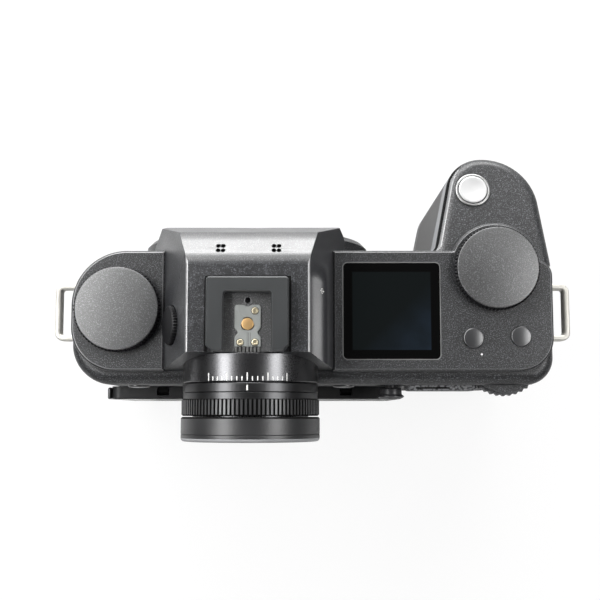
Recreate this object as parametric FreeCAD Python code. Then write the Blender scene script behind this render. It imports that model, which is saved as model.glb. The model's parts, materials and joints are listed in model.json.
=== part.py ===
import FreeCAD, Part
import math
import os

# Mirrorless camera body, in millimetres.
# The origin is the mouth of the tripod socket, under the lens axis.
# x points to the user's left, -x is the grip side, -y is the lens side and z is up.

Vector = FreeCAD.Vector
EAST = Vector(1, 0, 0)
BACK = Vector(0, 1, 0)
UP = Vector(0, 0, 1)

# Clearances
seat_gap = 0.05          # between fixed pieces that lie in a recess
running_gap = 0.06       # radial, between a shaft and its bore
free_gap = 0.3           # between a moving piece and what it passes
edge_break = 0.3         # small bevel on turned rims
overrun = 1.0            # how far a cutting tool runs past a face
far = 200.0              # longer than the camera, for tools that run right through
nearly = 0.001           # two levels closer than this are the same

# Heights, stacked from the base up
base_thickness = 2.2
base_chamfer = 0.7
base_margin = 5.5        # from the base to the mount housing
housing_radius = 36.5
deck_margin = 1.5        # from the mount housing to the deck
plate_thickness = 6.0
plate_chamfer = 0.6
shoulder_drop = 2.0      # rear shoulder, below the top plates
shoulder_round = 3.6
hump_rise = 18.0         # hump, above the top plates
shoe_rise = 4.0          # hot shoe, above the hump
lens_axis_z = base_margin + housing_radius
deck_height = lens_axis_z + housing_radius + deck_margin
plate_height = deck_height + plate_thickness
shoulder_height = plate_height - shoulder_drop
hump_height = plate_height + hump_rise
shoe_height = hump_height + shoe_rise

# Depths, from the lens plane
front_depth = 20.0
back_depth = 19.0
cover_depth = 5.0        # thickness of the rear cover
seam_y = back_depth - cover_depth
shoulder_width = 3.8
plate_back = back_depth - shoulder_width

# Dials
left_dial_radius = 12.0
left_dial_y = -2.7
left_dial_margin = 1.0   # from the hump to the left dial
left_dial_edge = 1.2     # from the left dial to the end of its plate
right_dial_radius = 11.8
right_dial_y = -14.6
right_dial_edge = 4.1
dial_height = 4.0
dial_bevel = 0.6
dial_knurl_height = 2.4
dial_knurl_depth = 0.5
dial_teeth = 72
dial_stem_radius = 3.0
dial_stem_length = 4.5
dial_ridge = 1.3         # width of the round plate edge outside the right dial

# Top display
display_half = 14.2
display_margin = 2.8     # from the hump's plate edge to the glass
display_to_dial = 4.1
display_y = -2.3
display_round = 1.5
display_glass_thickness = 1.1
display_panel_half = 11.7
display_panel_round = 0.5
display_panel_thickness = 1.4

# Widths, stacked outward from the hump
left_plate_inner = 25.1
right_plate_inner = 23.8
left_plate_inset = 0.3
right_plate_inset = 0.6
left_dial_reach = left_dial_radius + dial_knurl_depth
right_dial_reach = right_dial_radius + dial_knurl_depth
left_dial_x = left_plate_inner + left_dial_margin + left_dial_reach
left_plate_end = left_dial_x + left_dial_reach + left_dial_edge
reach_left = left_plate_end + left_plate_inset
display_x = -(right_plate_inner + display_margin + display_half)
right_dial_x = display_x - display_half - display_to_dial - right_dial_reach
right_plate_end = right_dial_reach + right_dial_edge - right_dial_x
reach_right = right_plate_end + right_plate_inset

# Corners seen from above
corner_left_front = 14.0
corner_left_back = 12.0
corner_right_back = 8.0
left_plate_round_front = 16.0
left_plate_round_back = 13.0
right_plate_round_front = 4.5
right_plate_round_back = 10.0
right_plate_notch = 2.8  # step in the right plate's front edge, outside the dial

# Grip, in front of the right half
grip_proud = 29.7
grip_width = 34.4
grip_taper_inner = 6.3
grip_taper_outer = 4.4
grip_root_round = 3.0
grip_inner_round = 11.0
grip_outer_round = 16.5
grip_flank = 4.0         # where the outer side meets the nose, behind the front face
grip_flank_round = 30.0
grip_cover_depth = 10.0  # joint between the grip and its top cover, below the deck
grip_cover_drop = 2.5    # top cover at the front face, below the top plates
grip_slope = 10.5        # degrees, falling to the nose
grip_cover_round = 3.4
grip_depth = front_depth + grip_proud
grip_root_x = reach_right - grip_width
grip_inner_x = grip_root_x + grip_taper_inner
grip_outer_x = reach_right - grip_taper_outer
grip_flank_y = front_depth - grip_flank
grip_cover_low = deck_height - grip_cover_depth
grip_cover_high = plate_height - grip_cover_drop

# Viewfinder hump
ridge_half = 16.9
ridge_front = 14.3
ridge_round = 0.8
hump_back_gap = 0.3      # back of the hump, in front of the rear edge of the plates
hump_back_slope = 4.2
hump_back_drop = 1.0     # start of the back slope, below the top plates
hump_brow_proud = 3.2
hump_brow_drop = 6.0
hump_brow_sag = 1.3
hump_foot_proud = 8.2
hump_foot_drop = 4.0     # lower edge of the front part, below the deck
hump_foot_lip = 2.0
hump_back = plate_back - hump_back_gap
ridge_back = hump_back - hump_back_slope
hump_brow_y = front_depth + hump_brow_proud
hump_brow_z = hump_height - hump_brow_drop
hump_foot_y = front_depth + hump_foot_proud
hump_foot_z = deck_height - hump_foot_drop
mic_offset = 7.7
mic_y = 18.1
mic_pitch = 1.4
mic_radius = 0.5
mic_depth = 1.6          # floor of the holes, above the lower end of the brow

# Hot shoe
shoe_half = 11.2
shoe_front = 9.5
shoe_back = ridge_back
shoe_corner = 1.0
shoe_tail = 1.6          # cut corners at the back of the rails
shoe_chamfer = 0.4
shoe_groove = 0.7        # gap between the shoe and the edge of its recess
shoe_sunk = 0.5
shoe_mouth_half = 6.4
shoe_slot_half = 9.35
shoe_slot_front = 5.4
shoe_floor = 0.5         # above the hump
shoe_slot_height = 2.0
shoe_plate_half = 3.55
shoe_plate_waist = 2.7
shoe_plate_front = 2.0
shoe_plate_back = 10.9
shoe_plate_corner = 0.8
shoe_plate_thickness = 0.4
shoe_waist_y = 5.5
shoe_waist_fillet = 0.6
shoe_comb_front = 9.3
shoe_comb_grooves = 6
shoe_comb_groove = 0.4
shoe_comb_depth = 0.25
shoe_contact_radius = 1.65
shoe_contact_y = 3.2
shoe_small_radius = 0.95
shoe_small_x = 2.0
shoe_small_front_y = 0.4
shoe_small_back_y = 8.2
shoe_contact_height = 0.35
shoe_pin_radius = 0.8
shoe_pin_y = 3.3
shoe_pin_depth = 1.5

# Lens mount
housing_proud = 8.0
housing_bevel = 1.6
housing_wall = 4.1       # from the mount ring to the housing's edge
mount_width = 6.6        # from the bore of the mount ring to its edge
mount_thickness = 2.0
mount_proud = 0.4
mount_lip = 0.6          # step behind the flange that carries the bayonet lugs
mount_lip_width = 1.6
bayonet_reach = 1.5      # of the lugs, inside the bore
bayonet_thickness = 1.2
bayonet_setback = 0.1
bayonet_count = 4
bayonet_span = 38.0      # degrees of each lug
mount_screw_shank = 0.8
mount_screw_head = 1.7
mount_screw_sunk = 0.1
mount_screw_head_thickness = 0.8
mount_screw_drive = 0.8
mount_screw_drive_depth = 0.4
mount_screw_length = 4.0
mount_screw_inset = 3.2
mount_screw_count = 4
mount_screw_start = 30.0
contact_span = 56.0      # degrees of the contact block
contact_margin = 8.0     # degrees left free at its ends
contact_count = 10
contact_radius = 0.6
contact_proud = 0.5
contact_length = 2.0
contact_block_gap = 1.6  # inside the bore
contact_block_width = 3.2
contact_block_depth = 3.0
contact_block_setback = 0.4
contact_foot_half = 8.0
contact_foot_overlap = 1.5
contact_foot_setback = 0.8
lock_pin_radius = 1.5
lock_pin_proud = 1.6
lock_pin_seat = 4.0
lock_pin_bevel = 0.4
release_offset = 5.9     # from the housing to the button's axis
release_z = 33.0
release_radius = 4.4
release_boss = 1.3       # rim of the boss round the button
release_boss_depth = 8.0
release_proud = 2.6
release_travel = 1.8
throat_step = 2.4        # from the edge of the mount ring to the throat of the casting
throat_back = 2.0        # bottom of the throat, in front of the origin plane
mount_radius = housing_radius - housing_wall
mount_bore = mount_radius - mount_width
mount_screw_circle = mount_radius - mount_screw_inset
bayonet_radius = mount_bore - bayonet_reach
contact_block_outer = mount_bore - contact_block_gap
contact_block_inner = contact_block_outer - contact_block_width
contact_circle = (contact_block_inner + contact_block_outer) / 2
throat_radius = mount_radius - throat_step
housing_depth = front_depth + housing_proud
release_x = housing_radius + release_offset
mount_front = -(housing_depth + mount_proud)
mount_back = mount_front + mount_thickness
lens_centre = Vector(0, 0, lens_axis_z)

# Sensor
flange_to_sensor = 20.0
sensor_width = 36.0
sensor_tall = 24.0
sensor_frame = 5.0
sensor_frame_corner = 2.0
sensor_glass_margin = 1.0
sensor_glass_corner = 0.5
sensor_glass_thickness = 1.2
shutter_thickness = 3.0
shutter_window = 1.0     # margin of the shutter window round the sensor

# Coverings
covering_thickness = 0.9
covering_low = 9.0
covering_drop = 12.0     # upper edge, below the deck
covering_margin = 2.0    # beside the mount housing
covering_left_back = 9.5
covering_high = deck_height - covering_drop
covering_inner = housing_radius + covering_margin

# Strap lugs
lug_reach = 5.8
lug_band_width = 1.7
lug_height = 4.4
lug_drop = 2.5           # middle of the band, below the deck
lug_front = 11.0
lug_back = 6.0
lug_round = 2.5
lug_root = 2.0
lug_z = deck_height - lug_drop

# Eyepiece
eyepiece_drop = 18.0     # axis, below the top of the hump
barrel_radius = 19.35
barrel_inset = 3.9       # front of the barrel, inside the back of the hump
barrel_length = 7.8
spigot_step = 2.35       # from the barrel to its spigot
spigot_length = 7.0
tube_step = 0.4          # from the spigot to the inner tube
tube_wall = 2.6
tube_proud = 14.2        # inner tube, behind the barrel
ring_start_gap = 0.1
ring_index_width = 2.7
ring_cone_width = 1.8
ring_knurl_width = 4.7
ring_knurl_proud = 0.35  # outside the barrel
ring_knurl_depth = 0.45
ring_ribs = 104
ring_rib_crest = 0.5     # share of the pitch that a rib's flat top takes
ring_rib_flank = 0.12
cup_proud = 0.5          # outside the barrel
cup_length = 6.85
cup_round = 1.8
cup_edge = 0.4
cup_lip_reach = 1.0      # of the lip, inside the tube
cup_lip_width = 1.5
cup_lip_depth = 1.2
eyepiece_lens_setback = 9.0
eyepiece_lens_edge = 2.5
eyepiece_lens_dome = 2.0
eyepiece_z = hump_height - eyepiece_drop
eyepiece_start = Vector(0, 0, eyepiece_z)
spigot_radius = barrel_radius - spigot_step
tube_radius = spigot_radius - tube_step
tube_bore = tube_radius - tube_wall
ring_knurl_radius = barrel_radius + ring_knurl_proud
cup_radius = barrel_radius + cup_proud
cup_lip = tube_bore - cup_lip_reach
barrel_front = hump_back - barrel_inset
barrel_back = barrel_front + barrel_length
tube_back = barrel_back + tube_proud
ring_index_back = barrel_back + ring_index_width
ring_knurl_front = ring_index_back + ring_cone_width
ring_back = ring_knurl_front + ring_knurl_width
cup_front = ring_back + free_gap
cup_back = cup_front + cup_length

# Diopter wheel in the left cheek of the hump
diopter_radius = 5.5
diopter_thickness = 2.2
diopter_bevel = 0.5
diopter_y = 2.5
diopter_rise = 6.0       # axis, above the top plates
diopter_proud = 1.3
diopter_teeth = 40
diopter_knurl_depth = 0.35
diopter_shaft_radius = 1.2
diopter_shaft_length = 3.0

# Buttons
button_skirt = 0.5       # radial width of the skirt that keeps a button in
button_skirt_thickness = 1.0
top_button_inner_offset = 7.0
top_button_inner_y = 5.7
top_button_outer_offset = 6.8
top_button_outer_y = 5.2
top_button_radius = 3.0
top_button_proud = 0.9
top_button_travel = 0.6
top_button_depth = 3.0
rear_button_radius = 3.25
rear_button_proud = 0.8
rear_button_travel = 0.5
rear_button_depth = 2.4
front_button_radius = 3.6
front_button_offset = 9.5  # from the root of the grip
front_button_z = 60.0
front_button_pitch = 20.0
front_button_depth = 4.0
shutter_offset = 22.4    # from the outer side of the body
shutter_y = -39.2
shutter_radius = 4.3
shutter_proud = 1.7
shutter_dish = 0.5
shutter_dish_radius = 24.0
shutter_travel = 1.2
shutter_depth = 4.0
collar_width = 0.9
collar_depth = 2.0
collar_proud = 0.7

# Rear thumb wheel
wheel_offset = 13.9      # from the outer side of the body
wheel_setback = 8.7      # its axle, in front of the back
wheel_drop = 4.0         # middle of the wheel, below the deck
wheel_radius = 12.0
wheel_thickness = 3.6
wheel_bevel = 0.6
wheel_teeth = 40
wheel_tooth_depth = 0.7
wheel_housing_radius = 10.9
wheel_housing_depth = 11.0
wheel_housing_round = 1.5
wheel_axle_radius = 1.5
wheel_x = wheel_offset - reach_right
wheel_y = back_depth - wheel_setback
wheel_z = deck_height - wheel_drop
wheel_housing_low = deck_height - wheel_housing_depth

# Screen
screen_half = 44.9
screen_low = 7.0
screen_drop = 19.0       # upper edge, below the deck
screen_thickness = 4.0
screen_proud = 3.9
screen_round = 3.0
screen_bevel = 0.5
screen_glass_thickness = 0.9
screen_glass_margin = 0.8
recess_margin = 0.6
recess_depth = 2.6
recess_low = 4.8
arm_half = 30.0
arm_thickness = 1.6
arm_corner = 1.0
arm_hinge_rise = 0.6     # lower hinge, above the lower edge of the screen
arm_window_half = 12.0
arm_window_inset = 10.4
arm_window_round = 3.0
arm_drop = 1.8           # top edge of the arm, below the upper hinge
arm_barrel = 0.2         # lower hinge barrel, proud of the arm
screen_hinge_drop = 1.4  # upper hinge, below the upper edge of the screen
screen_hinge_proud = 1.0
ear_radius = 1.4
ear_width = 3.0
hinge_pin_radius = 0.7
hinge_pin_end = 3.0
hinge_stub = 1.5
notch_depth = 4.5
screen_high = deck_height - screen_drop
screen_reach = back_depth + screen_proud
screen_hinge_y = back_depth + screen_hinge_proud
screen_hinge_z = screen_high - screen_hinge_drop
arm_hinge_z = screen_low + arm_hinge_rise
arm_axis_y = back_depth - recess_depth + free_gap + arm_thickness / 2

# Rear controls
joystick_x = -41.4
joystick_drop = 6.0
joystick_radius = 3.9
joystick_proud = 3.9
joystick_well = 1.0
joystick_neck = 1.6
joystick_pivot_depth = 2.5
joystick_ball = 2.0
joystick_cap = 3.0
joystick_cap_bevel = 0.9
joystick_dish = 0.6
gimbal_bore = 2.3
gimbal_radius = 3.8
gimbal_front = 1.2
gimbal_back = 1.0
small_button_x = -27.2
small_button_drop = 5.0
power_button_x = 34.0
power_button_drop = 6.0
column_offset = 9.1      # from the side of the screen
column_drop = 7.0        # upper button, below the top of the screen
column_pitch = 12.0
column_names = ["rear_button_upper", "rear_button_middle", "rear_button_lower"]
lamp_offset = 8.0        # from the mount housing
lamp_drop = 18.0
lamp_radius = 2.6
lamp_depth = 2.0
lamp_rim = 0.8
lamp_dome = 0.8
thumb_margin = 4.6       # from the joystick's axis to the thumb rest
thumb_end = 21.4         # from the outer side of the body
thumb_low_drop = 15.5
thumb_high_drop = 1.5
thumb_proud = 1.6
thumb_round = 3.0
thumb_edge = 1.0
joystick_z = deck_height - joystick_drop
joystick_reach = back_depth + joystick_proud
joystick_pivot_y = back_depth - joystick_pivot_depth
thumb_left = thumb_margin - joystick_x
thumb_right = reach_right - thumb_end

# Battery and its bay
battery_offset = 27.7    # from the outer side of the body to the bay's inner side
battery_width = 20.5
battery_inset = 11.7     # behind the nose of the grip
battery_depth = 40.0
battery_height = 56.0
battery_round = 2.0
battery_edge = 0.5
lever_offset = 11.7      # pivot, beside the battery
lever_y = 8.0
lever_hub = 3.2
lever_reach = 8.0
lever_root_half = 2.0
lever_tip_half = 1.2
lever_thickness = 1.2
lever_lift = 0.2
lever_pivot_radius = 1.2
battery_left = reach_right - battery_offset
battery_front = grip_depth - battery_inset
lever_x = lever_offset - battery_left

# Tripod socket and base screws
socket_depth = 7.0
socket_bore = 2.6
socket_end = 1.0
socket_block_half = 7.5  # block in the casting that holds the thread
socket_pad_half = 9.5    # its foot in the base plate, back to the rear edge
base_screw_radius = 1.6
base_screw_shank = 0.8
base_screw_head = 0.9
base_screw_sunk = 0.1
base_screw_drive_depth = 0.5
base_screw_length = 5.0
base_screw_inset = 8.0
base_screw_middle_x = -31.0
base_screw_corner_inset = 4.5
base_screw_corner_back = 9.0

# Doors in the sides
door_drop = 18.0         # upper edges, below the deck
door_thickness = 1.8
door_knuckle = 0.9
door_neck = 0.4
door_wall = 1.2
card_front = 3.2
card_back = 11.2
card_low = 20.0
card_rim = 3.2           # of the card housing, round its door
card_rim_depth = 6.0
card_bay_depth = 27.0
card_block_setback = 4.5
card_slot_pitch = 2.8
card_slot_thickness = 2.1
card_slot_floor = 3.0
card_slot_low = 6.0
card_slot_high = 10.0
port_half = 7.0
port_low = 14.0
port_bay_depth = 12.0
port_block_setback = 2.5
jack_radius = 1.8
jack_drop = 8.0
jack_floor = 3.0
small_port_half = 2.0
small_port_low = 17.0
small_port_high = 26.0
large_port_half = 2.4
large_port_top_half = 1.8
large_port_low = 4.0
large_port_high = 13.5
port_corner = 0.6
door_high = deck_height - door_drop
covering_right_back = card_front - card_rim - seat_gap

# Board behind the sensor
board_left = 30.0
board_right = 38.0
board_low = 10.0
board_margin = 4.0       # from the board to the top of its cavity
board_thickness = 1.6
board_corner = 1.0
cavity_left = 34.0
cavity_right = 56.0
cavity_low = 6.0
cavity_corner = 3.0
cavity_front = 2.0
standoff_height = 4.0
standoff_radius = 2.5
chip_seat = 0.2
chip_height = 1.2
chips = [(-12, 18, 14, 18), (14, 12, 20, 12), (-32, 12, 30, 10), (-32, 10, 8, 16)]
cavity_high = door_high
board_high = cavity_high - board_margin


def vertex(plane, level, a, b):
    """Point of an outline in a top, front or side plane."""
    if plane == "top":
        return Vector(a, b, level)
    if plane == "front":
        return Vector(a, level, b)
    return Vector(level, a, b)


def outline(corners, plane="top", level=0.0):
    """Closed wire through corners (a, b, radius), each corner rounded by its radius."""
    count = len(corners)
    stops = []
    for index in range(count):
        a, b, radius = corners[index]
        here = vertex(plane, level, a, b)
        before = vertex(plane, level, *corners[index - 1][:2])
        after = vertex(plane, level, *corners[(index + 1) % count][:2])
        if radius <= 0:
            stops.append((here, here, here))
            continue
        back = (before - here).normalize()
        ahead = (after - here).normalize()
        half = back.getAngle(ahead) / 2
        run = radius / math.tan(half)
        middle = (back + ahead).normalize() * (radius / math.sin(half) - radius)
        stops.append((here + back * run, here + middle, here + ahead * run))
    edges = []
    for index in range(count):
        start, middle, end = stops[index]
        if (end - start).Length > nearly:
            edges.append(Part.Arc(start, middle, end).toShape())
        following = stops[(index + 1) % count][0]
        if (following - end).Length > nearly:
            edges.append(Part.makeLine(end, following))
    return Part.Wire(edges)


def prism(corners, low, high, plane="top"):
    """Solid between two levels over a rounded outline."""
    travel = {"top": UP, "front": BACK, "side": EAST}[plane]
    return Part.Face(outline(corners, plane, low)).extrude(travel * (high - low))


def block(low_x, high_x, low_y, high_y, low_z, high_z):
    """Box between two corners."""
    size = Vector(high_x - low_x, high_y - low_y, high_z - low_z)
    return Part.makeBox(size.x, size.y, size.z, Vector(low_x, low_y, low_z))


def grown_prism(corners, margin, low, high):
    """Vertical prism over an outline moved outward (or inward if negative) by a margin."""
    wire = outline(corners, "top", low).makeOffset2D(margin)
    return Part.Face(wire).extrude(UP * (high - low))


def rectangle(low_a, high_a, low_b, high_b, radius):
    """Corners of a rounded rectangle."""
    return [(low_a, low_b, radius), (high_a, low_b, radius),
            (high_a, high_b, radius), (low_a, high_b, radius)]


def square(x, y, half, radius):
    """Corners of a rounded square about a centre."""
    return rectangle(x - half, x + half, y - half, y + half, radius)


def rod(radius, start, direction, length):
    """Cylinder from a start point along a direction."""
    return Part.makeCylinder(radius, length, start, direction)


def turned(profile, base, direction):
    """Solid of revolution; profile holds (radius, distance along the axis)."""
    points = [Vector(radius, 0, along) for radius, along in profile]
    wire = Part.makePolygon(points + points[:1])
    solid = Part.Face(wire).revolve(Vector(0, 0, 0), UP, 360)
    solid.Placement = FreeCAD.Placement(base, FreeCAD.Rotation(UP, direction))
    return solid


def rimmed(pattern, teeth, height, base, direction):
    """Disc whose rim repeats a pattern of (share of the pitch, radius)."""
    points = []
    for index in range(teeth):
        for share, reach in pattern:
            angle = 2 * math.pi * (index + share) / teeth
            points.append(Vector(reach * math.cos(angle), reach * math.sin(angle), 0))
    disc = Part.Face(Part.makePolygon(points + points[:1])).extrude(UP * height)
    disc.Placement = FreeCAD.Placement(base, FreeCAD.Rotation(UP, direction))
    return disc


def toothed(radius, depth, teeth, height, base, direction):
    """Disc whose rim has a row of V-shaped teeth."""
    return rimmed([(0, radius), (0.5, radius - depth)], teeth, height, base, direction)


def bevelled_disc(radius, bevel, thickness, base, direction):
    """Disc with both rims bevelled, a little wider than a toothed wheel of this radius."""
    wide = radius + seat_gap
    return turned([(0, 0), (wide - bevel, 0), (wide, bevel), (wide, thickness - bevel),
                   (wide - bevel, thickness), (0, thickness)], base, direction)


def rounded_edges(solid, radius, chosen):
    """Fillet the edges of a solid for which chosen(edge) is true."""
    return solid.makeFillet(radius, [edge for edge in solid.Edges if chosen(edge)])


def chamfered_edges(solid, size, chosen):
    """Chamfer the edges of a solid for which chosen(edge) is true."""
    return solid.makeChamfer(size, [edge for edge in solid.Edges if chosen(edge)])


def edge_at(axis, level):
    """Test for edges that lie wholly in a plane across an axis (0, 1 or 2)."""
    def lies(edge):
        box = edge.BoundBox
        low = (box.XMin, box.YMin, box.ZMin)[axis]
        high = (box.XMax, box.YMax, box.ZMax)[axis]
        return abs(low - level) < nearly and abs(high - level) < nearly
    return lies


# Outlines seen from above
body_outline = [
    (reach_left, -front_depth, corner_left_front),
    (-grip_root_x, -front_depth, grip_root_round),
    (-grip_inner_x, -grip_depth, grip_inner_round),
    (-grip_outer_x, -grip_depth, grip_outer_round),
    (-reach_right, -grip_flank_y, grip_flank_round),
    (-reach_right, back_depth, corner_right_back),
    (reach_left, back_depth, corner_left_back),
]
left_plate_outline = [
    (left_plate_inner, -front_depth, 0),
    (left_plate_end, -front_depth, left_plate_round_front),
    (left_plate_end, plate_back, left_plate_round_back),
    (left_plate_inner, plate_back, 0),
]
right_plate_outline = [
    (-right_plate_inner, -front_depth, 0),
    (right_dial_x, -front_depth, 0),
    (right_dial_x, right_plate_notch - front_depth, 0),
    (-right_plate_end, right_plate_notch - front_depth, right_plate_round_front),
    (-right_plate_end, plate_back, right_plate_round_back),
    (-right_plate_inner, plate_back, 0),
]
battery_corners = rectangle(-battery_left - battery_width, -battery_left,
                            -battery_front, battery_depth - battery_front, battery_round)
ridge_radius = right_dial_reach + dial_ridge
ridge_centre = Vector(right_dial_x, right_dial_y, 0)


def mount_point(radius, degrees, y):
    """Point on a circle about the lens axis, with 0 degrees towards +x."""
    angle = math.radians(degrees)
    return Vector(radius * math.cos(angle), y, lens_axis_z + radius * math.sin(angle))


def grip_top(y):
    """Height of the sloping top of the grip."""
    return grip_cover_high + (y + front_depth) * math.tan(math.radians(grip_slope))


def grip_normal():
    """Direction square to the top of the grip."""
    slope = math.radians(grip_slope)
    return Vector(0, -math.sin(slope), math.cos(slope))


# Faces that the buttons stand in
top_faces = {
    "top_button_inner": Vector(right_dial_x + top_button_inner_offset, top_button_inner_y,
                               plate_height),
    "top_button_outer": Vector(right_dial_x - top_button_outer_offset, top_button_outer_y,
                               plate_height),
}
rear_faces = {
    "rear_button_small": Vector(small_button_x, back_depth, deck_height - small_button_drop),
    "power_button": Vector(power_button_x, back_depth, deck_height - power_button_drop),
}
for place, name in enumerate(column_names):
    rear_faces[name] = Vector(-screen_half - column_offset, back_depth,
                              screen_high - column_drop - place * column_pitch)
front_button_x = front_button_offset - grip_root_x
front_faces = {
    "front_button_upper": Vector(front_button_x, -front_depth, front_button_z),
    "front_button_lower": Vector(front_button_x, -front_depth, front_button_z - front_button_pitch),
}
shutter_face = Vector(shutter_offset - reach_right, shutter_y, grip_top(shutter_y))
release_face = Vector(release_x, -front_depth, release_z)
lamp_face = Vector(housing_radius + lamp_offset, -front_depth, deck_height - lamp_drop)
nodes = {}
screws = []


def right_plate_solid(margin, low, high):
    """Right plate outline with the round ridge about its dial."""
    plate = grown_prism(right_plate_outline, margin, low, high)
    ridge = rod(ridge_radius + margin, ridge_centre + UP * low, UP, high - low)
    return plate.fuse(ridge).removeSplitter()


def eyepiece_hole(margin):
    """Space that the eyepiece barrel and its spigot take."""
    barrel = rod(barrel_radius + margin, eyepiece_start + BACK * (barrel_front - margin), BACK, far)
    start = eyepiece_start + BACK * (barrel_front - spigot_length - margin)
    return barrel.fuse(rod(spigot_radius + margin, start, BACK, far))


def wheel_pocket():
    """Slot of the rear thumb wheel."""
    half = wheel_thickness / 2 + free_gap
    return rod(wheel_radius + free_gap, Vector(wheel_x, wheel_y, wheel_z - half), UP, 2 * half)


def side_door(side, edge, low_y, high_y, low):
    """Door panel in a side wall, with the knuckle of its hinge at its front edge."""
    inner = side * (edge - door_thickness)
    outer = side * edge
    panel = block(min(inner, outer), max(inner, outer), low_y, high_y, low, door_high)
    pivot = Vector(side * (edge - door_knuckle), low_y - door_knuckle, low)
    knuckle = rod(door_knuckle, pivot, UP, door_high - low)
    behind = inner + side * door_neck
    neck = block(min(pivot.x, behind), max(pivot.x, behind), pivot.y, low_y + door_knuckle,
                 low, door_high)
    return panel.fuse([knuckle, neck]).removeSplitter()


def door_recess(side, edge, low_y, high_y, low):
    """Opening that a side door closes, with room for its knuckle."""
    depth = side * (edge - door_thickness - seat_gap)
    outside = side * (edge + overrun)
    gap = 2 * seat_gap
    high = door_high + gap
    opening = block(min(depth, outside), max(depth, outside), low_y - gap, high_y + gap,
                    low - gap, high)
    pivot = Vector(side * (edge - door_knuckle), low_y - door_knuckle, low - gap)
    socket = rod(door_knuckle + free_gap, pivot, UP, high - low + gap)
    mouth = block(min(pivot.x, outside), max(pivot.x, outside),
                  pivot.y - door_knuckle - free_gap, low_y, low - gap, high)
    return opening.fuse([socket, mouth])


def card_housing(margin, back):
    """Space that the card housing takes at the side, wider round its door."""
    rim = card_rim + margin
    outer = block(-far, card_rim_depth + margin - reach_right, card_front - rim, back,
                  card_low - rim, door_high + rim)
    inner = block(-far, card_bay_depth + margin - reach_right, card_front - margin, back,
                  card_low - margin, door_high + margin)
    return outer.fuse(inner)


def covering_zone(thickness):
    """Skin of the body between the covering's lower and upper edges."""
    skin = prism(body_outline, covering_low, covering_high)
    inside = grown_prism(body_outline, -thickness, covering_low - overrun, covering_high + overrun)
    return skin.cut(inside)


def covering_regions(margin):
    """Zones of the left and right coverings, drawn in by a margin."""
    left = block(covering_inner + margin, far, -far, -covering_left_back - margin, 0, far)
    right = block(-far, -covering_inner - margin, -far, covering_right_back - margin, 0, far)
    return [left, right]


def button(radius, face, direction, proud, depth):
    """Round button with a skirt that keeps it behind the panel face."""
    height = depth + proud
    profile = [
        (0, 0),
        (radius + button_skirt, 0),
        (radius + button_skirt, button_skirt_thickness),
        (radius, button_skirt_thickness),
        (radius, height - edge_break),
        (radius - edge_break, height),
        (0, height),
    ]
    return turned(profile, face - direction * depth, direction)


def button_well(radius, face, direction, travel, depth):
    """Stepped hole of a button, deep enough for its travel."""
    floor = depth + travel + free_gap
    wide = radius + button_skirt + free_gap
    step = travel + free_gap + button_skirt_thickness + seat_gap
    mouth = radius + running_gap
    profile = [(0, 0), (wide, 0), (wide, step), (mouth, step), (mouth, floor + overrun),
               (0, floor + overrun)]
    return turned(profile, face - direction * floor, direction)


def lug_band(side, margin):
    """Rectangular band of a strap lug, its ends in the side wall."""
    edge = reach_left if side > 0 else reach_right
    root = side * (edge - lug_root - margin)
    tip = side * (edge + lug_reach + margin)
    outer = [(root, -lug_front - margin, 0), (tip, -lug_front - margin, lug_round),
             (tip, lug_back + margin, lug_round), (root, lug_back + margin, 0)]
    inner_round = lug_round - lug_band_width
    inner_tip = side * (edge + lug_reach - lug_band_width - margin)
    inner_root = root - side * overrun
    inner_front = lug_band_width + margin - lug_front
    inner_back = lug_back - lug_band_width - margin
    inner = [(inner_root, inner_front, 0), (inner_tip, inner_front, inner_round),
             (inner_tip, inner_back, inner_round), (inner_root, inner_back, 0)]
    low = lug_z - lug_height / 2 - margin
    high = lug_z + lug_height / 2 + margin
    return prism(outer, low, high).cut(prism(inner, low - overrun, high + overrun))


def standoff_places():
    """Centres of the board's four posts, as x and z."""
    inset = 2 * standoff_radius
    return [(x, z) for x in (-board_right + inset, board_left - inset)
            for z in (board_low + inset, board_high - inset)]


def base_screw_places():
    """Centres of the base screws."""
    left = reach_left - base_screw_inset
    back = back_depth - base_screw_inset
    front = -front_depth + base_screw_inset
    corner = Vector(base_screw_corner_inset - reach_right, back_depth - base_screw_corner_back, 0)
    places = [Vector(x, y, 0) for x in (left, base_screw_middle_x) for y in (front, back)]
    return places + [corner]


def socket_block(margin, back):
    """Space that the block of the tripod socket takes, open to the back."""
    half = socket_block_half + margin
    return block(-half, half, -half, back, base_thickness / 2, socket_depth + margin)


def socket_foot(margin):
    """Space in the base plate that the foot of the tripod socket takes."""
    half = socket_pad_half + margin
    return block(-half, half, -half, far, -overrun, base_thickness + overrun)


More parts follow.
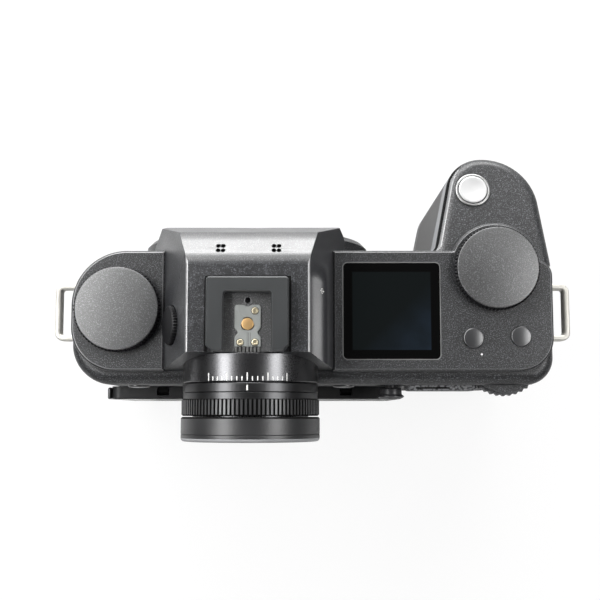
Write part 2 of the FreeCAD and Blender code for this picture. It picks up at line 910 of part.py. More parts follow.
def make_casting():
    """Casting that carries everything, with the grip, the bays and the throat."""
    casting = prism(body_outline, base_thickness, deck_height)
    casting = casting.cut(block(-far, far, seam_y, far, 0, far))
    casting = casting.cut(block(-far, overrun - grip_root_x, -far, -front_depth,
                                grip_cover_low, far))
    mouth = front_depth + overrun
    casting = casting.cut(rod(throat_radius, lens_centre - BACK * mouth, BACK, mouth - throat_back))
    casting = casting.cut(eyepiece_hole(seat_gap))
    casting = casting.cut(grown_prism(battery_corners, free_gap, 0, battery_height + free_gap))
    cavity = prism(rectangle(-cavity_right, cavity_left, cavity_low, cavity_high, cavity_corner),
                   cavity_front, seam_y + overrun, "front")
    casting = casting.cut(cavity)
    posts = [rod(standoff_radius, Vector(x, cavity_front, z), BACK, standoff_height)
             for x, z in standoff_places()]
    casting = casting.fuse(posts)
    casting = casting.cut(wheel_pocket())
    casting = casting.cut(rod(wheel_axle_radius, Vector(wheel_x, wheel_y, wheel_housing_low), UP, far))
    skin = covering_zone(covering_thickness + seat_gap)
    for zone in covering_regions(0):
        casting = casting.cut(skin.common(zone))
    boss = rod(release_radius + release_boss, release_face + BACK * release_boss_depth, -BACK,
               release_boss_depth)
    casting = casting.fuse(boss)
    casting = casting.cut(card_housing(seat_gap, seam_y + overrun))
    casting = casting.cut(door_recess(1, reach_left, -port_half, port_half, port_low))
    casting = casting.cut(block(reach_left - port_bay_depth, reach_left - overrun,
                                door_wall - port_half, port_half - door_wall,
                                port_low + door_wall, door_high - door_wall))
    for side in (1, -1):
        casting = casting.cut(lug_band(side, seat_gap))
    for face in front_faces.values():
        casting = casting.cut(button_well(front_button_radius, face, -BACK, rear_button_travel,
                                          front_button_depth))
    casting = casting.cut(button_well(release_radius, release_face, -BACK, release_travel,
                                      front_button_depth))
    casting = casting.cut(rod(lamp_radius + seat_gap, lamp_face + BACK * lamp_depth, -BACK,
                              lamp_depth + overrun))
    pin_start = mount_point(mount_screw_circle, 0, -front_depth - overrun)
    casting = casting.cut(rod(lock_pin_radius + running_gap, pin_start, BACK,
                              lock_pin_seat + release_travel + 2 * overrun))
    casting = casting.cut(socket_block(seat_gap, seam_y + overrun))
    for point in base_screw_places():
        casting = casting.cut(rod(base_screw_shank + seat_gap, point, UP,
                                  base_screw_length + seat_gap))
    nodes["body_casting"] = casting


def make_base():
    """Base plate, tripod socket and base screws."""
    below = Vector(0, 0, -overrun)
    base = chamfered_edges(prism(body_outline, 0, base_thickness), base_chamfer, edge_at(2, 0))
    foot = base.common(socket_foot(0))
    base = base.cut(socket_foot(seat_gap))
    base = base.cut(grown_prism(battery_corners, free_gap, -overrun, base_thickness + overrun))
    for point in base_screw_places():
        base = base.cut(rod(base_screw_radius + seat_gap, point + below, UP,
                            overrun + base_screw_head))
        base = base.cut(rod(base_screw_shank + seat_gap, point, UP, far))
        head = rod(base_screw_radius, point + UP * base_screw_sunk, UP,
                   base_screw_head - base_screw_sunk)
        shank = rod(base_screw_shank, point + UP * base_screw_head, UP,
                    base_screw_length - base_screw_head)
        drive = rod(base_screw_radius / 2, point, UP, base_screw_drive_depth)
        screws.append(head.fuse(shank).cut(drive))
    pivot = Vector(lever_x, lever_y, 0)
    base = base.cut(rod(lever_reach + free_gap, pivot + below, UP,
                        overrun + lever_thickness + free_gap))
    base = base.cut(rod(lever_pivot_radius + running_gap, pivot, UP, far))
    nodes["base_plate"] = base
    socket = foot.fuse(socket_block(0, seam_y)).removeSplitter()
    nodes["tripod_socket"] = socket.cut(rod(socket_bore, below, UP,
                                            overrun + socket_depth - socket_end))


def make_battery():
    """Battery in the grip, and the lever that holds it."""
    battery = prism(battery_corners, 0, battery_height)
    nodes["battery"] = chamfered_edges(battery, battery_edge, edge_at(2, 0))
    tip = lever_x + lever_reach
    arm = prism([(lever_x, lever_y - lever_root_half, 0), (tip, lever_y - lever_tip_half, lever_tip_half),
                 (tip, lever_y + lever_tip_half, lever_tip_half), (lever_x, lever_y + lever_root_half, 0)],
                lever_lift, lever_thickness)
    foot = Vector(lever_x, lever_y, lever_lift)
    hub = rod(lever_hub, foot, UP, lever_thickness - lever_lift)
    post = rod(lever_pivot_radius, foot, UP, base_thickness - lever_lift)
    nodes["battery_release_lever"] = hub.fuse([arm, post]).removeSplitter()


def make_top_plates():
    """Left and right top plates with the wells of their dials, display and buttons."""
    def blank(solid):
        return chamfered_edges(solid, plate_chamfer, edge_at(2, plate_height))

    left = blank(prism(left_plate_outline, deck_height, plate_height))
    right = blank(prism(right_plate_outline, deck_height, plate_height))
    ridge = rod(ridge_radius, ridge_centre + UP * deck_height, UP, plate_thickness)
    right = right.fuse(blank(ridge)).removeSplitter()
    stem = dial_stem_radius + running_gap
    floor = plate_height - dial_stem_length - free_gap
    left = left.cut(rod(stem, Vector(left_dial_x, left_dial_y, floor), UP, far))
    right = right.cut(rod(stem, Vector(right_dial_x, right_dial_y, floor), UP, far))
    glass_low = plate_height - display_glass_thickness
    panel_high = glass_low - seat_gap
    panel_low = panel_high - display_panel_thickness
    pocket = prism(square(display_x, display_y, display_half + seat_gap, display_round),
                   panel_high, plate_height + overrun)
    cavity = prism(square(display_x, display_y, display_panel_half + seat_gap, display_panel_round),
                   panel_low - seat_gap, plate_height)
    right = right.cut([pocket, cavity])
    for face in top_faces.values():
        right = right.cut(button_well(top_button_radius, face, UP, top_button_travel,
                                      top_button_depth))
    nodes["left_top_plate"] = left
    nodes["right_top_plate"] = right
    nodes["top_display_glass"] = prism(square(display_x, display_y, display_half, display_round),
                                       glass_low, plate_height)
    nodes["top_display_panel"] = prism(square(display_x, display_y, display_panel_half,
                                              display_panel_round), panel_low, panel_high)


def make_dials():
    """Two knurled dials and two round buttons on the top plates."""
    places = {"left_dial": (left_dial_x, left_dial_y, left_dial_radius),
              "right_dial": (right_dial_x, right_dial_y, right_dial_radius)}
    for name, (x, y, radius) in places.items():
        foot = Vector(x, y, plate_height + free_gap)
        rim = toothed(radius + dial_knurl_depth, dial_knurl_depth, dial_teeth,
                      dial_knurl_height, foot, UP)
        height = dial_height - free_gap
        cap = turned([(0, dial_knurl_height / 2), (radius, dial_knurl_height / 2),
                      (radius, height - dial_bevel), (radius - dial_bevel, height), (0, height)],
                     foot, UP)
        stem = rod(dial_stem_radius, Vector(x, y, plate_height - dial_stem_length), UP,
                   dial_stem_length + dial_knurl_height / 2)
        nodes[name] = rim.fuse([cap, stem]).removeSplitter()
    for name, face in top_faces.items():
        nodes[name] = button(top_button_radius, face, UP, top_button_proud, top_button_depth)


def make_grip_cover():
    """Sloping top cover of the grip, with the shutter button and its collar."""
    high = plate_height + far
    front = prism(body_outline, grip_cover_low, high).common(
        block(-far, overrun - grip_root_x, -far, -front_depth - seat_gap, 0, high))
    side = prism(body_outline, deck_height + seat_gap, high).common(
        block(-far, right_dial_x, -far, -grip_flank_y, 0, high))
    cover = front.fuse(side).removeSplitter()
    above = Part.makeBox(2 * far, 2 * far, 2 * far, Vector(-far, -far, 0))
    above.Placement = FreeCAD.Placement(Vector(0, -front_depth, grip_cover_high),
                                        FreeCAD.Rotation(EAST, grip_slope))
    cover = cover.cut(above)

    def on_top_rim(edge):
        box = edge.BoundBox
        centre = edge.CenterOfMass
        on_slope = abs(grip_top(centre.y) - centre.z) < 0.1 * grip_cover_round
        return on_slope and centre.y < -front_depth - overrun and box.ZLength < grip_cover_depth

    cover = rounded_edges(cover, grip_cover_round, on_top_rim)
    cover = cover.cut(right_plate_solid(seat_gap, deck_height - overrun, high))
    normal = grip_normal()
    collar_radius = shutter_radius + collar_width
    collar_foot = shutter_face - normal * collar_depth
    cover = cover.cut(rod(collar_radius + seat_gap, collar_foot, normal, far))
    cover = cover.cut(button_well(shutter_radius, shutter_face, normal, shutter_travel,
                                  shutter_depth))
    nodes["grip_top_cover"] = cover
    bore = shutter_radius + 2 * running_gap
    height = collar_depth + collar_proud
    nodes["shutter_collar"] = turned([(bore, 0), (collar_radius, 0),
                                      (collar_radius, height - edge_break),
                                      (collar_radius - edge_break, height), (bore, height)],
                                     collar_foot, normal)
    key = button(shutter_radius, shutter_face, normal, shutter_proud, shutter_depth)
    rise = shutter_proud - shutter_dish + shutter_dish_radius
    nodes["shutter_button"] = key.cut(Part.makeSphere(shutter_dish_radius,
                                                      shutter_face + normal * rise))


def hump_profile():
    """Side view of the hump: deck, back slope, top, curved brow and front."""
    floor = deck_height + seat_gap
    wall = -front_depth - seat_gap
    top = [Vector(0, hump_back, floor), Vector(0, hump_back, plate_height - hump_back_drop),
           Vector(0, ridge_back, hump_height), Vector(0, -ridge_front, hump_height)]
    brow = Vector(0, -hump_brow_y, hump_brow_z)
    front = [brow, Vector(0, -hump_foot_y, hump_foot_z + hump_foot_lip),
             Vector(0, -hump_foot_y, hump_foot_z), Vector(0, wall, hump_foot_z),
             Vector(0, wall, floor), top[0]]
    chord = brow - top[-1]
    outward = Vector(0, chord.z, -chord.y).normalize() * hump_brow_sag
    middle = (top[-1] + brow) * 0.5 + outward
    edges = [Part.makeLine(first, second) for first, second in zip(top, top[1:])]
    edges.append(Part.Arc(top[-1], middle, brow).toShape())
    edges += [Part.makeLine(first, second) for first, second in zip(front, front[1:])]
    return Part.Wire(edges)


def hump_section(foot):
    """Front view of the hump, whose cheeks slope from the ridges down to the plates or a foot."""
    left = left_plate_inner - seat_gap
    right = right_plate_inner - seat_gap
    ridges = [(ridge_half, hump_height, ridge_round), (-ridge_half, hump_height, ridge_round)]
    if foot >= plate_height:
        return [(left, deck_height, 0), (left, foot, 0)] + ridges + [(-right, foot, 0),
                                                                     (-right, deck_height, 0)]
    spread = (hump_height - foot) / hump_rise
    left_foot = ridge_half + (left - ridge_half) * spread
    right_foot = ridge_half + (right - ridge_half) * spread
    return [(left_foot, foot, 0)] + ridges + [(-right_foot, foot, 0)]


def cheek_run():
    """Horizontal run of the left cheek over the height of the hump."""
    return left_plate_inner - seat_gap - ridge_half


def diopter_axis():
    """Point on the left cheek at the middle of the diopter wheel, and the cheek's direction."""
    x = ridge_half + cheek_run() * (hump_rise - diopter_rise) / hump_rise
    return Vector(x, diopter_y, plate_height + diopter_rise), Vector(hump_rise, 0, cheek_run()).normalize()


def make_hump():
    """Viewfinder hump with its microphone holes, shoe recess and diopter wheel."""
    side = Part.Face(hump_profile()).extrude(EAST * 2 * far)
    side.translate(EAST * -far)
    wall = -front_depth - seat_gap
    rear = prism(hump_section(plate_height), wall, hump_back + overrun, "front")
    front = prism(hump_section(hump_foot_z), -hump_foot_y - overrun, wall, "front")
    hump = side.common(rear.fuse(front))
    hump = hump.cut(eyepiece_hole(seat_gap))
    hump = hump.cut(rod(housing_radius + seat_gap, lens_centre - BACK * far, BACK,
                        far - front_depth + overrun))
    for group in (-mic_offset, mic_offset):
        for x, y, _ in square(group, -mic_y, mic_pitch / 2, 0):
            hump = hump.cut(rod(mic_radius, Vector(x, y, hump_brow_z + mic_depth), UP, far))
    groove = shoe_groove
    hump = hump.cut(prism(rectangle(-shoe_half - groove, shoe_half + groove, -shoe_front - groove,
                                    shoe_back + overrun, shoe_corner + groove),
                          hump_height - shoe_sunk, hump_height + overrun))
    hump = hump.cut(rod(shoe_pin_radius, Vector(0, -shoe_pin_y, hump_height - shoe_pin_depth),
                        UP, far))
    centre, normal = diopter_axis()
    sunk = diopter_thickness - diopter_proud
    hump = hump.cut(rod(diopter_radius + free_gap, centre - normal * (sunk + free_gap), normal, far))
    hump = hump.cut(rod(diopter_shaft_radius + running_gap,
                        centre - normal * (sunk + diopter_shaft_length + free_gap), normal, far))
    nodes["viewfinder_hump"] = hump
    foot = centre - normal * sunk
    rim = toothed(diopter_radius, diopter_knurl_depth, diopter_teeth, diopter_thickness, foot, normal)
    rim = rim.common(bevelled_disc(diopter_radius, diopter_bevel, diopter_thickness, foot, normal))
    shaft = rod(diopter_shaft_radius, foot - normal * diopter_shaft_length, normal,
                diopter_shaft_length + diopter_bevel)
    nodes["diopter_wheel"] = rim.fuse(shaft)


def make_hot_shoe():
    """Hot shoe rails with their slot, the contact plate and the contacts."""
    low = hump_height - shoe_sunk + seat_gap
    tail = [(shoe_half, shoe_back - shoe_tail, 0), (shoe_half - shoe_tail, shoe_back, 0)]
    shoe = prism([(-shoe_half, -shoe_front, shoe_corner), (shoe_half, -shoe_front, shoe_corner)]
                 + tail + [(-x, y, 0) for x, y, _ in reversed(tail)], low, shoe_height)
    floor = hump_height + shoe_floor
    shoe = shoe.cut(block(-shoe_slot_half, shoe_slot_half, -shoe_slot_front, far, floor,
                          floor + shoe_slot_height))
    shoe = shoe.cut(prism(rectangle(-shoe_mouth_half, shoe_mouth_half, -shoe_slot_front, far,
                                    shoe_corner), floor, shoe_height + overrun))
    shoe = chamfered_edges(shoe, shoe_chamfer, edge_at(2, shoe_height))
    nodes["hot_shoe"] = shoe.cut(rod(shoe_pin_radius, Vector(0, -shoe_pin_y, low - overrun), UP, far))

    half = shoe_plate_half
    waist = shoe_plate_waist
    fillet = shoe_waist_fillet
    run = half - waist
    side = [(half, -shoe_plate_front, shoe_plate_corner), (half, shoe_waist_y - 2 * run, fillet),
            (waist, shoe_waist_y - run, fillet), (waist, shoe_waist_y + run / 2, fillet),
            (half, shoe_waist_y + 3 * run / 2, fillet), (half, shoe_plate_back, 0)]
    other = [(-x, y, radius) for x, y, radius in reversed(side)]
    bottom = floor + seat_gap
    top = bottom + shoe_plate_thickness
    plate = prism(side + other, bottom, top)
    pitch = 2 * half / (shoe_comb_grooves + 1)
    for index in range(shoe_comb_grooves):
        x = pitch * (index + 1) - half
        plate = plate.cut(block(x - shoe_comb_groove / 2, x + shoe_comb_groove / 2,
                                shoe_comb_front, shoe_plate_back + overrun,
                                top - shoe_comb_depth, top + overrun))
    places = [(0, shoe_contact_y, shoe_contact_radius),
              (-shoe_small_x, -shoe_small_front_y, shoe_small_radius),
              (shoe_small_x, shoe_small_back_y, shoe_small_radius),
              (-shoe_small_x, shoe_small_back_y, shoe_small_radius)]
    discs = []
    for x, y, radius in places:
        plate = plate.cut(rod(radius + seat_gap, Vector(x, y, floor), UP, far))
        discs.append(rod(radius, Vector(x, y, bottom), UP, shoe_plate_thickness + shoe_contact_height))
    nodes["shoe_contact_plate"] = plate
    nodes["shoe_contacts"] = Part.makeCompound(discs)


def make_mount_ring():
    """Round housing, bayonet ring and its screws."""
    rise = housing_depth - front_depth
    housing = turned([(throat_radius, 0), (housing_radius, 0), (housing_radius, rise - housing_bevel),
                      (housing_radius - housing_bevel, rise), (throat_radius, rise)],
                     lens_centre - BACK * front_depth, -BACK)
    housing = housing.cut(rod(mount_radius + seat_gap, Vector(0, mount_back + seat_gap, lens_axis_z),
                              -BACK, far))
    pin_hole = rod(lock_pin_radius + running_gap,
                   mount_point(mount_screw_circle, 0, mount_front - overrun), BACK, far)
    lip_bore = mount_bore + mount_lip
    flange = rod(mount_radius, Vector(0, mount_front, lens_axis_z), BACK, mount_thickness)
    flange = flange.cut(rod(mount_bore, Vector(0, mount_front - overrun, lens_axis_z), BACK, far))
    lip_back = bayonet_setback + bayonet_thickness
    lip = turned([(lip_bore, -seat_gap), (lip_bore + mount_lip_width, -seat_gap),
                  (lip_bore + mount_lip_width, lip_back), (lip_bore, lip_back)],
                 Vector(0, mount_back, lens_axis_z), BACK)
    lugs = []
    for index in range(bayonet_count):
        start = 45 + index * 360 / bayonet_count - bayonet_span / 2
        lug = Part.makeCylinder(lip_bore + mount_lip_width / 2, bayonet_thickness,
                                Vector(0, mount_back + bayonet_setback, lens_axis_z), BACK,
                                bayonet_span)
        lug = lug.cut(rod(bayonet_radius, Vector(0, mount_back, lens_axis_z), BACK, far))
        lug.rotate(lens_centre, BACK, start)
        lugs.append(lug)
    ring = flange.fuse([lip] + lugs).cut(pin_hole)
    for index in range(mount_screw_count):
        angle = mount_screw_start + index * 360 / mount_screw_count
        head = mount_point(mount_screw_circle, angle, mount_front + mount_screw_sunk)
        well = rod(mount_screw_head + seat_gap, head - BACK * overrun, BACK,
                   overrun + mount_screw_head_thickness + seat_gap)
        shank_hole = rod(mount_screw_shank + seat_gap, head, BACK, mount_screw_length + overrun)
        ring = ring.cut([well, shank_hole])
        housing = housing.cut(shank_hole)
        screw = rod(mount_screw_head, head, BACK, mount_screw_head_thickness)
        screw = screw.fuse(rod(mount_screw_shank, head, BACK, mount_screw_length))
        screws.append(screw.cut(rod(mount_screw_drive, head, BACK, mount_screw_drive_depth)))
    nodes["mount_housing"] = housing.cut(pin_hole)
    nodes["lens_mount_ring"] = ring


def make_mount_contacts():
    """Contact block in the throat, its pins, the lock pin and the release button."""
    front = mount_back + bayonet_setback + bayonet_thickness + contact_block_setback
    centre = Vector(0, front, lens_axis_z)
    body = Part.makeCylinder(contact_block_outer, contact_block_depth, centre, BACK, contact_span)
    body = body.cut(rod(contact_block_inner, centre - BACK * overrun, BACK, far))
    body.rotate(lens_centre, BACK, 180 - contact_span / 2)
    foot = prism(rectangle(-contact_foot_half, contact_foot_half, 0,
                           lens_axis_z - contact_block_inner - contact_foot_overlap, 0),
                 front + contact_foot_setback, front + contact_block_depth, "front")
    foot = foot.common(rod(throat_radius - seat_gap, lens_centre - BACK * far, BACK, far))
    body = body.fuse(foot)
    pins = []
    spread = contact_span - contact_margin
    for index in range(contact_count):
        angle = -90 - spread / 2 + spread * index / (contact_count - 1)
        start = mount_point(contact_circle, angle, front - contact_proud)
        pins.append(rod(contact_radius, start, BACK, contact_length))
        body = body.cut(rod(contact_radius + seat_gap, start, BACK, contact_length + seat_gap))
    nodes["mount_contact_block"] = body
    nodes["mount_contacts"] = Part.makeCompound(pins)

    tip = mount_point(mount_screw_circle, 0, mount_front - lock_pin_proud)
    pin = rod(lock_pin_radius, tip, BACK, lock_pin_seat - front_depth - tip.y)
    nodes["mount_lock_pin"] = chamfered_edges(pin, lock_pin_bevel, edge_at(1, tip.y))
    nodes["lens_release_button"] = button(release_radius, release_face, -BACK, release_proud,
                                          front_button_depth)


def framed(half_x, half_z, radius):
    """Corners of a rounded rectangle about the lens axis."""
    return rectangle(-half_x, half_x, lens_axis_z - half_z, lens_axis_z + half_z, radius)


def make_sensor():
    """Sensor unit on the bottom of the throat, its glass and the shutter frame."""
    back = mount_front + flange_to_sensor
    glass_front = back - sensor_glass_thickness
    half_x = sensor_width / 2 + sensor_frame
    half_z = sensor_tall / 2 + sensor_frame
    nodes["sensor_unit"] = prism(framed(half_x, half_z, sensor_frame_corner), back, -throat_back,
                                 "front")
    nodes["sensor_glass"] = prism(framed(sensor_width / 2 + sensor_glass_margin,
                                         sensor_tall / 2 + sensor_glass_margin,
                                         sensor_glass_corner), glass_front, back, "front")
    scale = (throat_radius - free_gap) / math.hypot(half_x, half_z)
    shutter_back = glass_front - free_gap
    frame = prism(framed(half_x * scale, half_z * scale, 0), shutter_back - shutter_thickness,
                  shutter_back, "front")
    window = framed(sensor_width / 2 + shutter_window, sensor_tall / 2 + shutter_window,
                    shutter_window)
    nodes["shutter_frame"] = frame.cut(prism(window, -far, far, "front"))


def make_coverings():
    """Thin coverings of the front, the grip and the sides."""
    skin = covering_zone(covering_thickness).common(
        block(-far, far, -far, far, covering_low + seat_gap, covering_high - seat_gap))
    left, right = covering_regions(seat_gap)
    behind = BACK * (covering_thickness + corner_left_front)
    boss = rod(release_radius + release_boss + seat_gap, release_face + behind, -BACK, far)
    lamp = rod(lamp_radius + lamp_rim, lamp_face + behind, -BACK, far)
    nodes["front_covering_left"] = skin.common(left).cut([boss, lamp])
    holes = [rod(front_button_radius + lamp_rim, face + BACK * front_button_depth, -BACK, far)
             for face in front_faces.values()]
    nodes["grip_covering"] = skin.common(right).cut(holes)


def make_front_controls():
    """Two buttons between the mount and the grip, and the lamp window."""
    for name, face in front_faces.items():
        nodes[name] = button(front_button_radius, face, -BACK, rear_button_proud,
                             front_button_depth)
    bottom = lamp_depth - seat_gap
    nodes["lamp_window"] = turned([(0, 0), (lamp_radius, 0), (lamp_radius, lamp_depth),
                                   (lamp_radius - lamp_dome, lamp_depth + lamp_dome / 2),
                                   (0, lamp_depth + lamp_dome)],
                                  lamp_face + BACK * bottom, -BACK)


def make_rear_cover():
    """Rear cover with its round shoulder, screen recess, wheel housing and wells."""
    shell = prism(body_outline, base_thickness, shoulder_height)
    shell = rounded_edges(shell, shoulder_round, edge_at(2, shoulder_height))
    lower = shell.common(block(-far, far, seam_y + seat_gap, far, 0, deck_height))
    upper = shell.common(block(-far, far, plate_back - left_plate_round_back, far,
                               deck_height + seat_gap, far))
    upper = upper.cut(grown_prism(left_plate_outline, seat_gap, deck_height - overrun, far))
    upper = upper.cut(right_plate_solid(seat_gap, deck_height - overrun, far))
    upper = upper.cut(block(-right_plate_inner - 2 * seat_gap, left_plate_inner + 2 * seat_gap,
                            -far, hump_back + seat_gap, deck_height, far))
    bridge = shell.common(block(-far, far, plate_back + 2 * seat_gap, far, deck_height - overrun,
                                deck_height + overrun))
    cover = lower.fuse([upper, bridge])
    housing = rod(wheel_housing_radius, Vector(wheel_x, wheel_y, wheel_housing_low), UP,
                  wheel_housing_depth)
    housing = rounded_edges(housing, wheel_housing_round, edge_at(2, wheel_housing_low))
    housing = housing.common(block(-far, far, seam_y + seat_gap, far, 0, far))
    cover = cover.fuse(housing).removeSplitter()
    recess_half = screen_half + recess_margin
    recess_high = screen_hinge_z + screen_reach - screen_hinge_y + free_gap
    recess = prism(rectangle(-recess_half, recess_half, recess_low, recess_high, screen_round),
                   back_depth - recess_depth, far, "front")
    cover = cover.cut([recess, eyepiece_hole(seat_gap), wheel_pocket()])
    for face in rear_faces.values():
        cover = cover.cut(button_well(rear_button_radius, face, BACK, rear_button_travel,
                                      rear_button_depth))
    cover = cover.cut(rod(joystick_radius + joystick_well, Vector(joystick_x, 0, joystick_z),
                          BACK, far))
    pin_half = arm_half + hinge_pin_end + overrun
    cover = cover.cut(rod(hinge_pin_radius + running_gap, Vector(-pin_half, arm_axis_y, arm_hinge_z),
                          EAST, 2 * pin_half))
    nodes["rear_cover"] = cover

    face = back_depth + thumb_proud
    pad = prism(rectangle(-thumb_right, -thumb_left, deck_height - thumb_low_drop,
                          deck_height - thumb_high_drop, thumb_round), back_depth, face, "front")
    pad = rounded_edges(pad, thumb_edge, edge_at(1, face))
    pad = pad.cut(rod(wheel_housing_radius + seat_gap, Vector(wheel_x, wheel_y, 0), UP, far))
    nodes["thumb_rest"] = pad.cut(wheel_pocket())


def make_rear_controls():
    """Buttons, joystick and thumb wheel on the back."""
    for name, face in rear_faces.items():
        nodes[name] = button(rear_button_radius, face, BACK, rear_button_proud, rear_button_depth)
    pivot = Vector(joystick_x, joystick_pivot_y, joystick_z)
    reach = joystick_reach - joystick_pivot_y
    foot = reach - joystick_cap
    inner = joystick_radius - joystick_cap_bevel
    stick = turned([(0, 0), (joystick_neck, 0), (joystick_neck, foot), (inner, foot),
                    (joystick_radius, foot + joystick_cap_bevel),
                    (joystick_radius, reach - joystick_cap_bevel), (inner, reach),
                    (inner - joystick_cap_bevel, reach - joystick_dish), (0, reach - joystick_dish)],
                   pivot, BACK)
    nodes["joystick"] = Part.makeSphere(joystick_ball, pivot).fuse(stick).removeSplitter()
    nodes["joystick_gimbal"] = turned([(gimbal_bore, -gimbal_front), (gimbal_radius, -gimbal_front),
                                       (gimbal_radius, gimbal_back), (gimbal_bore, gimbal_back)],
                                      pivot, BACK)
    low = Vector(wheel_x, wheel_y, wheel_z - wheel_thickness / 2)
    wheel = toothed(wheel_radius, wheel_tooth_depth, wheel_teeth, wheel_thickness, low, UP)
    wheel = wheel.common(bevelled_disc(wheel_radius, wheel_bevel, wheel_thickness, low, UP))
    nodes["rear_wheel"] = wheel.cut(rod(wheel_axle_radius + running_gap, low - UP * overrun, UP, far))
    foot = Vector(wheel_x, wheel_y, wheel_housing_low + overrun)
    nodes["wheel_axle"] = rod(wheel_axle_radius - seat_gap, foot, UP, deck_height - foot.z)


def ear_middles():
    """Places of the two upper hinge ears along x."""
    return [side * (arm_half - ear_width / 2) for side in (1, -1)]


def make_screen_arm():
    """Arm between the lower hinge in the rear cover and the upper hinge of the screen."""
    front = arm_axis_y - arm_thickness / 2
    back = arm_axis_y + arm_thickness / 2
    top = screen_hinge_z
    edge = top - arm_drop
    arm = prism([(arm_half, arm_hinge_z, 0), (arm_half, edge, arm_corner), (-arm_half, edge, arm_corner),
                 (-arm_half, arm_hinge_z, 0)], front, back, "front")
    arm = arm.cut(prism(rectangle(-arm_window_half, arm_window_half, arm_hinge_z + arm_window_inset,
                                  top - arm_window_inset, arm_window_round), -far, far, "front"))
    pin_half = arm_half + hinge_pin_end
    pieces = [rod(arm_thickness / 2 + arm_barrel, Vector(-arm_half, arm_axis_y, arm_hinge_z), EAST,
                  2 * arm_half),
              rod(hinge_pin_radius, Vector(-pin_half, arm_axis_y, arm_hinge_z), EAST, 2 * pin_half)]
    for middle in ear_middles():
        start = middle - ear_width / 2
        end = middle + ear_width / 2
        pieces += [
            rod(ear_radius, Vector(start, screen_hinge_y, top), EAST, ear_width),
            block(start, end, arm_axis_y, screen_hinge_y, top - ear_radius, top + ear_radius),
            block(start, end, front, back, edge - ear_width, top + ear_radius),
            rod(hinge_pin_radius, Vector(start - hinge_stub, screen_hinge_y, top), EAST,
                ear_width + 2 * hinge_stub),
        ]
    nodes["screen_arm"] = arm.fuse(pieces).removeSplitter()


def make_screen():
    """Screen panel with its glass, notched for the ears of the arm."""
    inner = screen_reach - screen_thickness
    housing = prism(rectangle(-screen_half, screen_half, screen_low, screen_high, screen_round),
                    inner, screen_reach, "front")
    housing = rounded_edges(housing, screen_bevel, edge_at(1, screen_reach))

    def pane(margin, low):
        corners = rectangle(margin - screen_half, screen_half - margin, screen_low + margin,
                            screen_high - margin, screen_round - screen_glass_margin)
        return prism(corners, low, screen_reach, "front")

    glass_low = screen_reach - screen_glass_thickness
    housing = housing.cut(pane(screen_glass_margin, glass_low - seat_gap))
    reach = ear_radius + free_gap
    for middle in ear_middles():
        low = middle - ear_width / 2 - free_gap
        high = middle + ear_width / 2 + free_gap
        housing = housing.cut([
            block(low, high, inner - overrun, screen_hinge_y, screen_hinge_z - notch_depth, far),
            block(low, high, inner - overrun, screen_hinge_y + reach, screen_hinge_z, far),
            rod(reach, Vector(low, screen_hinge_y, screen_hinge_z), EAST, high - low),
            rod(hinge_pin_radius + running_gap, Vector(low - hinge_stub, screen_hinge_y, screen_hinge_z),
                EAST, high - low + 2 * hinge_stub),
        ])
    nodes["screen_housing"] = housing
    nodes["screen_glass"] = pane(screen_glass_margin + seat_gap, glass_low)


def make_eyepiece():
    """Eyepiece barrel, turning ring, rubber eyecup and lens."""
    start = eyepiece_start
    spigot_front = barrel_front - spigot_length
    nodes["eyepiece_barrel"] = turned([
        (tube_bore, spigot_front), (spigot_radius, spigot_front), (spigot_radius, barrel_front),
        (barrel_radius, barrel_front), (barrel_radius, barrel_back - edge_break),
        (barrel_radius - edge_break, barrel_back), (tube_radius, barrel_back),
        (tube_radius, tube_back), (tube_bore, tube_back),
    ], start, BACK)
    ring_front = barrel_back + ring_start_gap
    ring_bore = tube_radius + running_gap
    root = ring_knurl_radius - ring_knurl_depth
    body = turned([(ring_bore, ring_front), (barrel_radius - edge_break, ring_front),
                   (barrel_radius, ring_front + edge_break), (barrel_radius, ring_index_back),
                   (root, ring_knurl_front), (root, ring_back), (ring_bore, ring_back)], start, BACK)
    pattern = [(0, ring_knurl_radius), (ring_rib_crest, ring_knurl_radius),
               (ring_rib_crest + ring_rib_flank, root), (1 - ring_rib_flank, root)]
    rim = rimmed(pattern, ring_ribs, ring_knurl_width, start + BACK * ring_knurl_front, BACK)
    rim = rim.cut(rod(ring_bore + overrun, start, BACK, far))
    nodes["eyepiece_ring"] = body.fuse(rim).removeSplitter()

    seat = tube_radius + seat_gap
    step = tube_back + seat_gap
    nodes["eyecup"] = turned([
        (seat, cup_front), (cup_radius - cup_edge, cup_front), (cup_radius, cup_front + cup_edge),
        (cup_radius, cup_back - cup_round), (cup_radius - cup_round, cup_back),
        (cup_lip + cup_lip_width, cup_back), (cup_lip, cup_back - cup_lip_depth), (cup_lip, step),
        (seat, step),
    ], start, BACK)
    edge = tube_bore - seat_gap
    dome = eyepiece_lens_dome
    front = start + BACK * (tube_back - eyepiece_lens_setback)
    lens = rod(edge, front, BACK, eyepiece_lens_edge)
    bulge = (edge * edge + dome * dome) / (2 * dome)
    ball = Part.makeSphere(bulge, front + BACK * (eyepiece_lens_edge + dome - bulge))
    cap = rod(edge, front + BACK * eyepiece_lens_edge, BACK, dome + overrun).common(ball)
    nodes["eyepiece_lens"] = lens.fuse(cap).removeSplitter()


